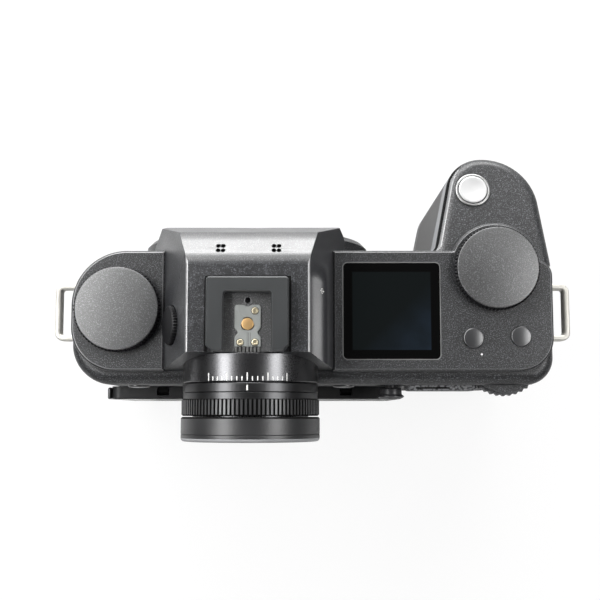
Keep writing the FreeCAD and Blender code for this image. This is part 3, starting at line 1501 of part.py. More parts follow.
def make_side_doors():
    """Card door and port cover, with the card slots and the port block behind them."""
    nodes["card_door"] = side_door(-1, reach_right, card_front, card_back, card_low)
    nodes["port_cover"] = side_door(1, reach_left, -port_half, port_half, port_low)
    housing = card_housing(0, seam_y).common(prism(body_outline, card_low - card_rim,
                                                   door_high + card_rim))
    housing = housing.cut(door_recess(-1, reach_right, card_front, card_back, card_low))
    housing = housing.cut(block(overrun - reach_right,
                                door_thickness + card_block_setback - reach_right,
                                card_front + door_wall, card_back - door_wall,
                                card_low + door_wall, door_high - door_wall))
    centre = (card_front + card_back) / 2
    for offset in (-card_slot_pitch / 2, card_slot_pitch / 2):
        middle = centre + offset
        housing = housing.cut(block(-far, card_bay_depth - card_slot_floor - reach_right,
                                    middle - card_slot_thickness / 2, middle + card_slot_thickness / 2,
                                    card_low + card_slot_low, door_high - card_slot_high))
    nodes["card_slots"] = housing.removeSplitter()
    wall = door_wall + seat_gap
    inner = reach_left - port_bay_depth
    ports = block(inner + seat_gap, reach_left - door_thickness - port_block_setback,
                  wall - port_half, port_half - wall, port_low + wall, door_high - wall)
    floor = inner + jack_floor
    for drop in (jack_drop, 2 * jack_drop):
        ports = ports.cut(rod(jack_radius, Vector(floor, 0, door_high - drop), EAST, far))
    ports = ports.cut(prism(rectangle(-small_port_half, small_port_half, port_low + small_port_low,
                                      port_low + small_port_high, port_corner), floor, far, "side"))
    large = [(-large_port_half, port_low + large_port_low, port_corner),
             (large_port_half, port_low + large_port_low, port_corner),
             (large_port_top_half, port_low + large_port_high, port_corner),
             (-large_port_half, port_low + large_port_high, port_corner)]
    nodes["port_block"] = ports.cut(prism(large, floor, far, "side"))


def make_board():
    """Main board on its posts, with chips."""
    y = cavity_front + standoff_height
    top = y + board_thickness
    board = prism(rectangle(-board_right, board_left, board_low, board_high, board_corner), y, top,
                  "front")
    packages = [block(x, x + width, top - chip_seat, top + chip_height, board_low + rise,
                      board_low + rise + height) for x, width, rise, height in chips]
    nodes["main_board"] = board.fuse(packages)


make_casting()
make_base()
make_battery()
make_top_plates()
make_dials()
make_grip_cover()
make_hump()
make_hot_shoe()
make_mount_ring()
make_mount_contacts()
make_sensor()
make_coverings()
make_front_controls()
make_rear_cover()
make_rear_controls()
make_screen_arm()
make_screen()
make_eyepiece()
make_side_doors()
make_board()
nodes["strap_lugs"] = Part.makeCompound([lug_band(1, 0), lug_band(-1, 0)])
nodes["body_screws"] = Part.makeCompound(screws)

os.makedirs("parts", exist_ok=True)
for name, shape in nodes.items():
    shape.exportStep("parts/" + name + ".step")
    print(name, "solids", len(shape.Solids), "valid", shape.isValid(), "volume", round(shape.Volume, 1))
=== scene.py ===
"""Looks of a mirrorless camera body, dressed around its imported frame.

Lengths are in metres. +Z is up, -Y is the lens side and -X is the grip side.
"""

import json
import logging
import math
from dataclasses import dataclass, field
from enum import Enum
from typing import Callable, Iterable, Sequence

import bmesh
import bpy
from mathutils import Matrix, Vector

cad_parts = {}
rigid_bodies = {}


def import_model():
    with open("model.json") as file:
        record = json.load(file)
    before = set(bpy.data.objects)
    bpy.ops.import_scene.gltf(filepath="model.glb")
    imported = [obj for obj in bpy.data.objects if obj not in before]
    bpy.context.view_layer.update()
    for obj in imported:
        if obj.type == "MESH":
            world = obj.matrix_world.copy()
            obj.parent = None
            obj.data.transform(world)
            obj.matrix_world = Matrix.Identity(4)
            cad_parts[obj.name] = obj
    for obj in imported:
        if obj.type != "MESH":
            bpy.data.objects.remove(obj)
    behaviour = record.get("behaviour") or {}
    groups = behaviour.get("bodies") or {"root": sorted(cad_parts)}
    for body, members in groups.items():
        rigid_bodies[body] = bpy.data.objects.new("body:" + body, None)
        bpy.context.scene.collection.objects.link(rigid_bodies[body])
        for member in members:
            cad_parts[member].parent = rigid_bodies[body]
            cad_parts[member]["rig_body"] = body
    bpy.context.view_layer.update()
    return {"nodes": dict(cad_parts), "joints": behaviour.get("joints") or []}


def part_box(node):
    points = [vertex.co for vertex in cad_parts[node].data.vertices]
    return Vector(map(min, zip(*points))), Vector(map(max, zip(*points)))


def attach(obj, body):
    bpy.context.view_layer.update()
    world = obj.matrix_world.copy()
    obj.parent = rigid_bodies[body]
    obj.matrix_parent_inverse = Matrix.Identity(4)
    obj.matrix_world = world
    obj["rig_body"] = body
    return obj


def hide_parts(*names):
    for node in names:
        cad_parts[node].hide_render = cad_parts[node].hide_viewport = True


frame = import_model()

MM = 0.001
BUTTON_SKIRT = 0.5 * MM
SKIRT_THICKNESS = 1 * MM
# Copies of CAD pieces: distance at which vertices are joined, and angle up to which faces are one
WELD = 0.001 * MM
FLAT = math.radians(0.6)
UP = Vector((0, 0, 1))
EAST = Vector((1, 0, 0))
BACK = Vector((0, 1, 0))
# Levels and softness of the masks over noise
CLOUD_MASK = (0.3, 0.4)
FLECK_MASK = (0.55, 0.08)
# Turned forms: nearest radius that isn't on the axis, and half angle from which a corner is straight
ON_AXIS = 1e-7
STRAIGHT = 0.499 * math.pi
Colour = tuple[float, float, float]
Stop = tuple[float, float, float]
Stretch = tuple[float, float, float]
log = logging.getLogger("camera")


@dataclass(frozen=True)
class Signal:
    """A value in a node tree that Python expressions combine."""

    canvas: "Canvas"
    socket: bpy.types.NodeSocket

    def __add__(self, other: "Signal | float") -> "Signal":
        """Sum."""
        return self.canvas.maths("ADD", self, other)

    def __radd__(self, other: float) -> "Signal":
        """Sum with a number first."""
        return self.canvas.maths("ADD", other, self)

    def __sub__(self, other: "Signal | float") -> "Signal":
        """Difference."""
        return self.canvas.maths("SUBTRACT", self, other)

    def __rsub__(self, other: float) -> "Signal":
        """Difference from a number."""
        return self.canvas.maths("SUBTRACT", other, self)

    def __mul__(self, other: "Signal | float") -> "Signal":
        """Product."""
        return self.canvas.maths("MULTIPLY", self, other)

    def __rmul__(self, other: float) -> "Signal":
        """Product with a number first."""
        return self.canvas.maths("MULTIPLY", other, self)

    def __truediv__(self, other: "Signal | float") -> "Signal":
        """Quotient."""
        return self.canvas.maths("DIVIDE", self, other)

    def __abs__(self) -> "Signal":
        """Size without sign."""
        return self.canvas.maths("ABSOLUTE", self)

    def clipped(self) -> "Signal":
        """The value held between 0 and 1."""
        positive = self.canvas.maths("MAXIMUM", self, 0.0)
        return self.canvas.maths("MINIMUM", positive, 1.0)

    def above(self, level: float, softness: float) -> "Signal":
        """Mask that rises from 0 to 1 over a softness from a level."""
        return ((self - level) / softness).clipped()


class Canvas:
    """A material's node tree with its one shader."""

    def __init__(self, name: str) -> None:
        """Start a material of a name with an empty look.

        Args:
            name: the material's name.
        """
        self.material = bpy.data.materials.new(name)
        self.material.use_nodes = True
        self.tree = self.material.node_tree
        self.shader = self.tree.nodes["Principled BSDF"]

    def node(self, kind: str, settings: dict | None = None, inputs: dict | None = None,
             output: int | str = 0) -> Signal:
        """Add a node.

        Args:
            kind: the node's type.
            settings: properties, which are set before the sockets.
            inputs: values or signals by socket name or number.
            output: socket that the result is read from.

        Returns:
            The chosen output.
        """
        made = self.tree.nodes.new(kind)
        for key, value in (settings or {}).items():
            setattr(made, key, value)
        for key, value in (inputs or {}).items():
            if isinstance(value, Signal):
                self.tree.links.new(value.socket, made.inputs[key])
            else:
                made.inputs[key].default_value = value
        return Signal(self, made.outputs[output])

    def maths(self, operation: str, *values: "Signal | float") -> Signal:
        """Math node of an operation over values."""
        return self.node("ShaderNodeMath", {"operation": operation}, dict(enumerate(values)))

    def place(self) -> Signal:
        """Point of the piece in the frame's axes at rest."""
        return self.node("ShaderNodeTexCoord", output="Object")

    def along(self, axis: str) -> Signal:
        """One coordinate of the point."""
        return self.node("ShaderNodeSeparateXYZ", inputs={0: self.place()}, output=axis)

    def noise(self, size: float, detail: float = 2.0, stretch: Stretch | None = None) -> Signal:
        """Noise of a feature size, drawn out along the axes by a stretch.

        Args:
            size: its feature size.
            detail: how many finer layers it has.
            stretch: factor along each axis.

        Returns:
            The noise.
        """
        place = self.place()
        if stretch:
            place = self.node("ShaderNodeVectorMath", {"operation": "DIVIDE"}, {0: place, 1: stretch})
        return self.node("ShaderNodeTexNoise", inputs={"Vector": place, "Scale": 1 / size,
                                                       "Detail": detail})

    def cells(self, size: float) -> Signal:
        """Distance from the middle of rounded cells of a size."""
        return self.node("ShaderNodeTexVoronoi", {"feature": "SMOOTH_F1"},
                         {"Vector": self.place(), "Scale": 1 / size, "Smoothness": 0.6})

    def blend(self, factor: "Signal | float", first: "Signal | Colour",
              second: "Signal | Colour") -> Signal:
        """Colour between two colours.

        Args:
            factor: share of the second colour.
            first: colour at 0.
            second: colour at 1.

        Returns:
            The colour.
        """
        def colour(value: "Signal | Colour") -> "Signal | tuple":
            """Colour with its fourth channel."""
            return value if isinstance(value, Signal) else (*value, 1.0)
        return self.node("ShaderNodeMix", {"data_type": "RGBA"},
                         {0: factor, 6: colour(first), 7: colour(second)}, output=2)

    def bump(self, height: Signal, depth: float, strength: "Signal | float" = 1.0) -> None:
        """Raise the surface by a height signal, over whatever bump it has.

        Args:
            height: signal from 0 to 1.
            depth: height at 1.
            strength: share of it that is seen.
        """
        links = self.shader.inputs["Normal"].links
        inputs = {"Height": height, "Distance": depth, "Strength": strength}
        if links:
            inputs["Normal"] = Signal(self, links[0].from_socket)
        self.set("Normal", self.node("ShaderNodeBump", inputs=inputs))

    def set(self, socket: str, value: "Signal | float | Colour") -> None:
        """Feed a socket of the shader.

        Args:
            socket: its name.
            value: signal, number or colour.
        """
        target = self.shader.inputs[socket]
        if isinstance(value, Signal):
            self.tree.links.new(value.socket, target)
        elif isinstance(value, tuple):
            target.default_value = (*value, 1.0)
        else:
            target.default_value = value


def shade(colour: Colour, factor: float) -> Colour:
    """Colour made lighter or darker by a factor."""
    return tuple(min(1.0, channel * factor) for channel in colour)


@dataclass(frozen=True)
class Finish:
    """Finish with a fine grain, bright flecks and slow cloudiness."""

    name: str
    slot: str
    colour: Colour
    roughness: float
    metallic: float = 0.0
    specular: float = 0.5
    ior: float = 1.5
    coat: float = 0.0
    grain: float = 0.3 * MM
    depth: float = 0.0
    fleck: float = 0.0
    cloud: float = 0.12
    cloud_size: float = 17 * MM

    def build(self) -> bpy.types.Material:
        """Make the material.

        Returns:
            The material.
        """
        canvas = Canvas(self.name)
        canvas.set("Metallic", self.metallic)
        canvas.set("Specular IOR Level", self.specular)
        canvas.set("IOR", self.ior)
        canvas.set("Coat Weight", self.coat)
        canvas.set("Coat Roughness", 0.15)
        self.paint(canvas)
        return canvas.material

    def tint(self, canvas: Canvas, grain: Signal, cloud: Signal) -> Signal:
        """Colour with its cloudiness and flecks.

        Args:
            canvas: the material's tree.
            grain: fine noise.
            cloud: slow noise.

        Returns:
            The colour.
        """
        base = canvas.blend(cloud, shade(self.colour, 1 - self.cloud),
                            shade(self.colour, 1 + self.cloud))
        if not self.fleck:
            return base
        return canvas.blend(grain.above(*FLECK_MASK), base, shade(self.colour, 1 + self.fleck))

    def paint(self, canvas: Canvas) -> None:
        """Wire colour, roughness and grain.

        Args:
            canvas: shader that they go into.
        """
        grain = canvas.noise(self.grain, 3.0)
        cloud = canvas.noise(self.cloud_size, 3.0).above(*CLOUD_MASK)
        canvas.set("Base Color", self.tint(canvas, grain, cloud))
        canvas.set("Roughness", self.roughness + (cloud - 0.5) * 0.06 + (grain - 0.5) * 0.1)
        if self.depth:
            canvas.bump(grain, self.depth)


@dataclass(frozen=True)
class Leather(Finish):
    """Pebbled covering: rounded cells with fine pores between them, lighter on their crests as painted
    highlight and darker in the valleys as painted shade.
    """

    pebble: float = 1.1 * MM
    valley_start: float = 0.42
    valley_fade: float = 0.25
    crest_highlight_tone: float = 1.5
    valley_shade_tone: float = 0.25

    def paint(self, canvas: Canvas) -> None:
        """Wire the pebbles.

        Args:
            canvas: shader that they go into.
        """
        pebble = canvas.cells(self.pebble)
        pores = canvas.noise(self.grain, 3.0)
        valley = pebble.above(self.valley_start, self.valley_fade)
        # Painted shade in the valleys between pebbles, and lighter crests as painted highlight.
        canvas.set("Base Color", canvas.blend(valley, shade(self.colour, self.crest_highlight_tone),
                                              shade(self.colour, self.valley_shade_tone)))
        canvas.set("Roughness", self.roughness + valley * 0.2 + (pores - 0.5) * 0.1)
        canvas.bump(1 - pebble, self.depth)
        canvas.bump(pores, self.depth * 0.15)


@dataclass(frozen=True)
class Brushed(Finish):
    """Metal with fine lines along one axis or round an axis that runs along Y."""

    stretch: Stretch = (1, 1, 30)
    centre_height: float = 0.0
    cloud_size: float = 9 * MM

    def paint(self, canvas: Canvas) -> None:
        """Wire the lines.

        Args:
            canvas: shader that they go into.
        """
        if self.centre_height:
            x = canvas.along("X")
            z = canvas.along("Z") - self.centre_height
            radius = canvas.maths("SQRT", x * x + z * z)
            lines = canvas.node("ShaderNodeTexNoise", {"noise_dimensions": "1D"},
                                {"W": radius, "Scale": 1 / self.grain, "Detail": 2.0})
        else:
            lines = canvas.noise(self.grain, 2.0, self.stretch)
        cloud = canvas.noise(self.cloud_size).above(*CLOUD_MASK)
        canvas.set("Base Color", self.tint(canvas, lines, cloud))
        canvas.set("Roughness", self.roughness + (lines - 0.5) * 0.2 + (cloud - 0.5) * 0.08)
        canvas.bump(lines, self.depth)


@dataclass(frozen=True)
class Rolled(Finish):
    """Paint on a brow whose front edge rolls over, which lets its light fade there."""

    front: float = -23.2 * MM
    fade: float = 2.8 * MM
    rise: float = 0.3 * MM

    def paint(self, canvas: Canvas) -> None:
        """Wire the paint and its edge.

        Args:
            canvas: shader that they go into.
        """
        super().paint(canvas)
        edge = 1 - canvas.along("Y").above(self.front, self.fade)
        canvas.bump(1 - edge * edge, self.rise)


@dataclass(frozen=True)
class Bowed(Finish):
    """Paint on a side that bows outward a little, which gives it a soft band of light."""

    upper: float = -16.0 * MM
    lower: float = -22.2 * MM
    rise: float = 13.0 * MM
    front: float = -15.5 * MM
    fade: float = 6 * MM

    def paint(self, canvas: Canvas) -> None:
        """Wire the paint and its bow.

        Args:
            canvas: shader that they go into.
        """
        super().paint(canvas)
        bow = canvas.node("ShaderNodeMapRange", {"interpolation_type": "SMOOTHSTEP"},
                          {0: canvas.along("X"), 1: self.upper, 2: self.lower})
        canvas.bump(bow, self.rise, canvas.along("Y").above(self.front, self.fade))


@dataclass(frozen=True)
class DisplayGlass(Finish):
    """Black glass over a dim panel that emits a faint light, with a painted reflection in one corner made
    as a brighter bluish emission.
    """

    middle: tuple[float, float] = (-40.8 * MM, -2.3 * MM)
    half: float = 11.3 * MM
    border_fade: float = 0.15 * MM
    smear_size: float = 6 * MM
    lit: Colour = (0.0042, 0.0062, 0.0066)
    # Colour of the painted reflection, emitted in one corner of the panel.
    glow: Colour = (0.018, 0.03, 0.05)
    reflection_mask: tuple[float, float] = (0.55, 0.45)

    def paint(self, canvas: Canvas) -> None:
        """Wire the panel's faint light and the painted reflection in its corner.

        Args:
            canvas: shader that they go into.
        """
        smear = canvas.noise(self.smear_size, 3.0)
        canvas.set("Base Color", self.colour)
        canvas.set("Roughness", self.roughness + (smear - 0.5).clipped() * 0.05)
        sideways = canvas.along("X") - self.middle[0]
        lengthways = canvas.along("Y") - self.middle[1]
        reach = canvas.maths("MAXIMUM", abs(sideways), abs(lengthways))
        active = 1 - reach.above(self.half, self.border_fade)
        # Painted reflection: an emission that grows toward one corner and is broken up by the smear.
        corner = ((lengthways - sideways) / (4 * self.half) + 0.5).above(*self.reflection_mask)
        light = canvas.blend(corner * smear, self.lit, self.glow)
        canvas.set("Emission Color", canvas.blend(active, (0.0, 0.0, 0.0), light))
        canvas.set("Emission Strength", 1.0)


@dataclass(frozen=True)
class SolderMask(Finish):
    """Circuit board: copper tracks under green lacquer."""

    track_density: float = 260.0
    track_width: float = 0.02
    track_tone: float = 2.2

    def paint(self, canvas: Canvas) -> None:
        """Wire the tracks.

        Args:
            canvas: shader that they go into.
        """
        level = canvas.node("ShaderNodeVectorMath", {"operation": "MULTIPLY"},
                            {0: canvas.place(), 1: (1, 0, 1)})
        tracks = canvas.node("ShaderNodeTexBrick", output="Fac", inputs={
            "Vector": level, "Scale": self.track_density, "Mortar Size": self.track_width})
        lit = shade(self.colour, self.track_tone)
        canvas.set("Base Color", canvas.blend(tracks, self.colour, lit))
        canvas.set("Roughness", self.roughness + tracks * 0.1)


class Surface(Enum):
    """Finishes of the camera."""

    PAINT = Finish("black paint", "painted_metal", (0.0085, 0.0087, 0.0093), 0.42, ior=1.56,
                   grain=0.28 * MM, depth=0.04 * MM, fleck=11.0)
    HUMP = Finish("smooth black paint", "painted_metal", (0.008, 0.0083, 0.0092), 0.34, ior=1.84,
                  grain=0.28 * MM, depth=0.035 * MM, fleck=11.0)
    BROW = Rolled("bright brow paint", "painted_metal", (0.012, 0.0124, 0.0132), 0.35, ior=1.86,
                  grain=0.28 * MM, depth=0.02 * MM, fleck=5.0)
    CHEEK = Bowed("cheek paint", "painted_metal", (0.017, 0.0175, 0.0195), 0.36, ior=1.7,
                  grain=0.28 * MM, depth=0.01 * MM, fleck=2.0)
    # Light paint on ridges and chamfers: painted highlight.
    RIDGE = Finish("painted ridge highlight", "painted_metal", (0.14, 0.141, 0.144), 0.3, ior=2.4)
    # Finish of the rounded paint edges, many times lighter than the paint: a little wear and mostly
    # painted highlight.
    EDGE = Finish("paint edge with wear and painted highlight", "painted_metal", (0.1, 0.101, 0.104), 0.3, ior=2.0)
    DIAL = Finish("dial metal", "dial_metal", (0.014, 0.0142, 0.0146), 0.42, ior=2.02,
                  grain=0.28 * MM, depth=0.06 * MM, fleck=7.0)
    KNURL = Finish("knurled metal", "dial_metal", (0.005, 0.005, 0.006), 0.5, specular=0.3)
    ANODISED = Finish("anodised metal", "dark_metal", (0.13, 0.13, 0.134), 0.29, metallic=1.0,
                      grain=0.3 * MM, depth=0.003 * MM, cloud=0.04)
    BAND = Finish("dark anodised metal", "dark_metal", (0.078, 0.078, 0.08), 0.34, metallic=1.0,
                  grain=0.3 * MM, depth=0.012 * MM, cloud=0.04)
    RIB = Finish("ribbed metal", "dark_metal", (0.075, 0.076, 0.078), 0.36, metallic=0.7, ior=1.8,
                 grain=0.3 * MM, depth=0.03 * MM)
    KEY = Finish("button metal", "dark_metal", (0.02, 0.0205, 0.022), 0.32, ior=2.0,
                 grain=0.25 * MM, depth=0.006 * MM)
    RAIL = Finish("shoe rail metal", "dark_metal", (0.024, 0.026, 0.027), 0.4, ior=1.62,
                  grain=0.5 * MM, depth=0.003 * MM)
    STEEL = Brushed("satin steel", "steel", (0.78, 0.76, 0.71), 0.4, metallic=1.0, grain=0.09 * MM,
                    depth=0.004 * MM, stretch=(1, 20, 1))
    LUG = Brushed("strap lug steel", "steel", (0.6, 0.585, 0.54), 0.42, metallic=0.5, grain=0.09 * MM,
                  depth=0.004 * MM, stretch=(1, 20, 1))
    # Light bluish paint of the grip's inner wall: painted reflection.
    WALL = Finish("grip wall with painted reflection", "painted_metal", (0.1, 0.107, 0.118), 0.36, ior=2.0,
                  grain=0.3 * MM)
    MOUNT_STEEL = Brushed("turned steel", "steel", (0.66, 0.65, 0.63), 0.24, metallic=1.0,
                          grain=0.12 * MM, depth=0.003 * MM, centre_height=42 * MM)
    SILVER = Finish("bright metal", "silver", (0.4, 0.4, 0.395), 0.36, metallic=1.0,
                    grain=0.2 * MM, depth=0.002 * MM, cloud=0.03)
    SATIN = Finish("satin metal", "silver", (0.5, 0.5, 0.5), 0.5, metallic=0.7,
                   grain=0.2 * MM, depth=0.002 * MM, cloud=0.03)
    GOLD = Finish("gold plating", "gold", (0.8, 0.52, 0.24), 0.42, metallic=1.0, grain=0.4 * MM,
                  depth=0.012 * MM)
    PALE_GOLD = Finish("pale gold plating", "gold", (0.74, 0.66, 0.48), 0.34, metallic=1.0,
                       grain=0.3 * MM, depth=0.012 * MM)
    DISPLAY = DisplayGlass("top display glass", "black_glass", (0.002, 0.002, 0.002), 0.06,
                           specular=0.3)
    GLASS = Finish("black glass", "black_glass", (0.004, 0.004, 0.005), 0.06, coat=0.3)
    PANEL = Finish("display panel", "display", (0.02, 0.02, 0.024), 0.2)
    SENSOR = Finish("sensor glass", "sensor_glass", (0.03, 0.05, 0.06), 0.08, metallic=0.5, coat=0.6)
    LENS = Finish("coated lens", "lens_glass", (0.012, 0.014, 0.03), 0.03, specular=0.9, coat=1.0)
    LAMP = Finish("lamp window", "lamp_plastic", (0.05, 0.034, 0.022), 0.12, coat=0.5)
    PLASTIC = Finish("black plastic", "black_plastic", (0.012, 0.012, 0.013), 0.5, grain=0.4 * MM,
                     depth=0.02 * MM)
    # Near-black finish laid where gaps and recesses fall into shade: painted shade.
    WELL = Finish("shadowed plastic", "black_plastic", (0.004, 0.004, 0.004), 0.7, specular=0.1)
    GREY = Finish("grey plastic", "grey_plastic", (0.216, 0.226, 0.218), 0.4, grain=0.35 * MM,
                  depth=0.006 * MM, cloud=0.06)
    LINE = Finish("dark grey plastic", "grey_plastic", (0.07, 0.07, 0.068), 0.45)
    LEATHER = Leather("leatherette", "leatherette", (0.02, 0.02, 0.021), 0.5, specular=0.3,
                      grain=0.2 * MM, depth=0.4 * MM, pebble=1.6 * MM)
    # Light grey leather of the thumb rest: painted reflection of the bright light behind it.
    PAD = Leather("thumb pad with painted reflection", "leatherette", (0.13, 0.132, 0.136), 0.55, grain=0.2 * MM,
                  depth=0.08 * MM, pebble=0.7 * MM)
    WHEEL = Finish("thumb wheel metal", "dark_metal", (0.09, 0.091, 0.094), 0.4, metallic=0.5,
                   grain=0.3 * MM, depth=0.01 * MM)
    STICK = Finish("joystick rubber", "joystick_rubber", (0.03, 0.03, 0.032), 0.32,
                   grain=0.3 * MM, depth=0.01 * MM)
    RUBBER = Finish("eyecup rubber", "eyecup_rubber", (0.015, 0.015, 0.016), 0.38, ior=1.66,
                    grain=0.3 * MM, depth=0.03 * MM)
    # Light grey finish of the eyecup's rear rim.
    CUP_RIM = Finish("light grey eyecup rim", "eyecup_rubber", (0.3, 0.302, 0.31), 0.6, grain=0.3 * MM,
                     depth=0.02 * MM)
    BOARD = SolderMask("circuit board", "circuit_board", (0.02, 0.09, 0.045), 0.35)
    WHITE = Finish("white filling", "painted_metal", (0.8, 0.8, 0.78), 0.5, cloud=0.03)

    def material(self) -> bpy.types.Material:
        """The finish's material, made once."""
        return bpy.data.materials.get(self.value.name) or self.value.build()


def softened(stops: Sequence[Stop], closed: bool, cuts: int = 4) -> list[tuple[float, float]]:
    """Profile with its corners rounded.

    Args:
        stops: radius, distance along the axis and rounding of each corner.
        closed: whether the profile joins its ends.
        cuts: edges of each rounded corner.

    Returns:
        Points as radius and distance.
    """
    points = []
    last = len(stops) - 1
    for index, (radius, along, rounding) in enumerate(stops):
        here = Vector((radius, along))
        if rounding <= 0 or (not closed and index in (0, last)):
            points.append((radius, along))
            continue
        before = Vector(stops[index - 1][:2])
        after = Vector(stops[(index + 1) % len(stops)][:2])
        to_before = (before - here).normalized()
        to_after = (after - here).normalized()
        half = to_before.angle(to_after) / 2
        if half > STRAIGHT:
            points.append((radius, along))
            continue
        run = min(rounding / math.tan(half), (before - here).length / 2, (after - here).length / 2)
        reach = run * math.tan(half)
        centre = here + (to_before + to_after).normalized() * (reach / math.sin(half))
        start = here + to_before * run - centre
        end = here + to_after * run - centre
        turn = start.angle(end)
        for cut in range(cuts + 1):
            share = cut / cuts
            arm = (start * math.sin((1 - share) * turn) + end * math.sin(share * turn)) / math.sin(turn)
            points.append(tuple(centre + arm))
    return points


@dataclass(frozen=True)
class Teeth:
    """Teeth round a turned piece, cut between two distances along its axis."""

    count: int
    depth: float
    low: float
    high: float
    crest: float = 0.45
    flank: float = 0.15

    def spokes(self) -> list[tuple[float, float]]:
        """Angles round the axis, each with how deep the piece is cut there.

        Returns:
            Angle and depth of each corner of the teeth.
        """
        pattern = [(0.0, 0.0), (self.crest, 0.0), (self.crest + self.flank, self.depth),
                   (1 - self.flank, self.depth)]
        return [(2 * math.pi * (tooth + share) / self.count, cut)
                for tooth in range(self.count) for share, cut in pattern]


def turned_mesh(stops: Sequence[Stop], base: Vector, axis: Vector, teeth: Teeth | None = None,
                closed: bool = False, steps: int = 144) -> bpy.types.Mesh:
    """Turn a profile about an axis.

    Args:
        stops: radius, distance and rounding of each corner.
        base: point that distances start from.
        axis: direction of the distances.
        teeth: teeth cut round the piece.
        closed: whether the profile joins its ends, as in a ring.
        steps: faces round a piece without teeth.

    Returns:
        The mesh.
    """
    spokes = teeth.spokes() if teeth else [(2 * math.pi * step / steps, 0.0) for step in range(steps)]
    form = bmesh.new()
    rings = []
    for radius, along in softened(stops, closed):
        if radius < ON_AXIS:
            rings.append([form.verts.new((0, 0, along))])
            continue
        toothed = teeth is not None and teeth.low <= along <= teeth.high
        ring = []
        for angle, cut in spokes:
            reach = radius - cut if toothed else radius
            ring.append(form.verts.new((reach * math.cos(angle), reach * math.sin(angle), along)))
        rings.append(ring)
    pairs = list(zip(rings, rings[1:])) + ([(rings[-1], rings[0])] if closed else [])
    count = len(spokes)
    for lower, upper in pairs:
        if len(lower) == 1 and len(upper) == 1:
            continue
        for step in range(count):
            following = (step + 1) % count
            if len(lower) == 1:
                form.faces.new((lower[0], upper[step], upper[following]))
            elif len(upper) == 1:
                form.faces.new((lower[step], upper[0], lower[following]))
            else:
                form.faces.new((lower[step], lower[following], upper[following], upper[step]))
    turn = UP.rotation_difference(axis).to_matrix().to_4x4()
    return meshed(form, Matrix.Translation(base) @ turn)


def meshed(form: bmesh.types.BMesh, move: Matrix | None = None) -> bpy.types.Mesh:
    """Mesh of a finished form, moved into place, with its faces turned outward.

    Args:
        form: the finished form, which is freed.
        move: its move, if there is one.

    Returns:
        The mesh.
    """
    bmesh.ops.recalc_face_normals(form, faces=form.faces)
    if move:
        form.transform(move)
    mesh = bpy.data.meshes.new("form")
    form.to_mesh(mesh)
    form.free()
    return mesh


def add_slab(form: bmesh.types.BMesh, rim: Sequence[Vector], thickness: Vector,
             hole: Sequence[Vector] = ()) -> None:
    """Add a flat piece over an outline, with a hole of as many points.

    Args:
        form: mesh that the piece goes into.
        rim: corners of the outline.
        thickness: from the outline to the opposite face.
        hole: corners of the hole, or nothing for a full piece.
    """
    outer = [[form.verts.new(point + lift) for point in rim] for lift in (Vector(), thickness)]
    count = len(rim)
    sides = [outer]
    if hole:
        inner = [[form.verts.new(point + lift) for point in hole] for lift in (Vector(), thickness)]
        sides.append(inner)
        for layer in (0, 1):
            for index in range(count):
                following = (index + 1) % count
                form.faces.new((outer[layer][index], outer[layer][following],
                                inner[layer][following], inner[layer][index]))
    else:
        form.faces.new(outer[0])
        form.faces.new(outer[1])
    for low, high in sides:
        for index in range(count):
            following = (index + 1) % count
            form.faces.new((low[index], low[following], high[following], high[index]))


def slab_mesh(rim: Sequence[Vector], thickness: Vector, hole: Sequence[Vector] = ()) -> bpy.types.Mesh:
    """Mesh of one flat piece over an outline.

    Args:
        rim: corners of the outline.
        thickness: from the outline to the opposite face.
        hole: corners of the hole, or nothing for a full piece.

    Returns:
        The mesh.
    """
    form = bmesh.new()
    add_slab(form, rim, thickness, hole)
    return meshed(form)


def bar(start: Vector, end: Vector, width: Vector) -> list[Vector]:
    """Corners of a flat bar between two points, a width across."""
    return [start - width / 2, end - width / 2, end + width / 2, start + width / 2]


def arc_points(centre: Vector, first: Vector, second: Vector, radius: float, start: float,
               end: float, cuts: int) -> list[Vector]:
    """Points of an arc in the plane of two directions, from a start to an end angle."""
    angles = [start + (end - start) * cut / cuts for cut in range(cuts + 1)]
    return [centre + first * (radius * math.cos(a)) + second * (radius * math.sin(a)) for a in angles]


def circle(centre: Vector, first: Vector, second: Vector, radius: float, cuts: int = 32) -> list[Vector]:
    """Points of a circle in the plane of two directions."""
    return arc_points(centre, first, second, radius, 0, 2 * math.pi, cuts)[:-1]


def rounded_square(centre: Vector, half: float, rounding: float, cuts: int = 6) -> list[Vector]:
    """Corners of a level rounded square about a centre.

    Args:
        centre: its centre.
        half: half its width.
        rounding: radius of its corners.
        cuts: parts that each corner is made of.

    Returns:
        The corners, counter-clockwise.
    """
    points = []
    for quarter in range(4):
        angle = quarter * math.pi / 2
        sign = (1 if quarter in (0, 3) else -1, 1 if quarter in (0, 1) else -1)
        corner = centre + Vector((sign[0] * (half - rounding), sign[1] * (half - rounding), 0))
        points += arc_points(corner, EAST, BACK, rounding, angle, angle + math.pi / 2, cuts)
    return points


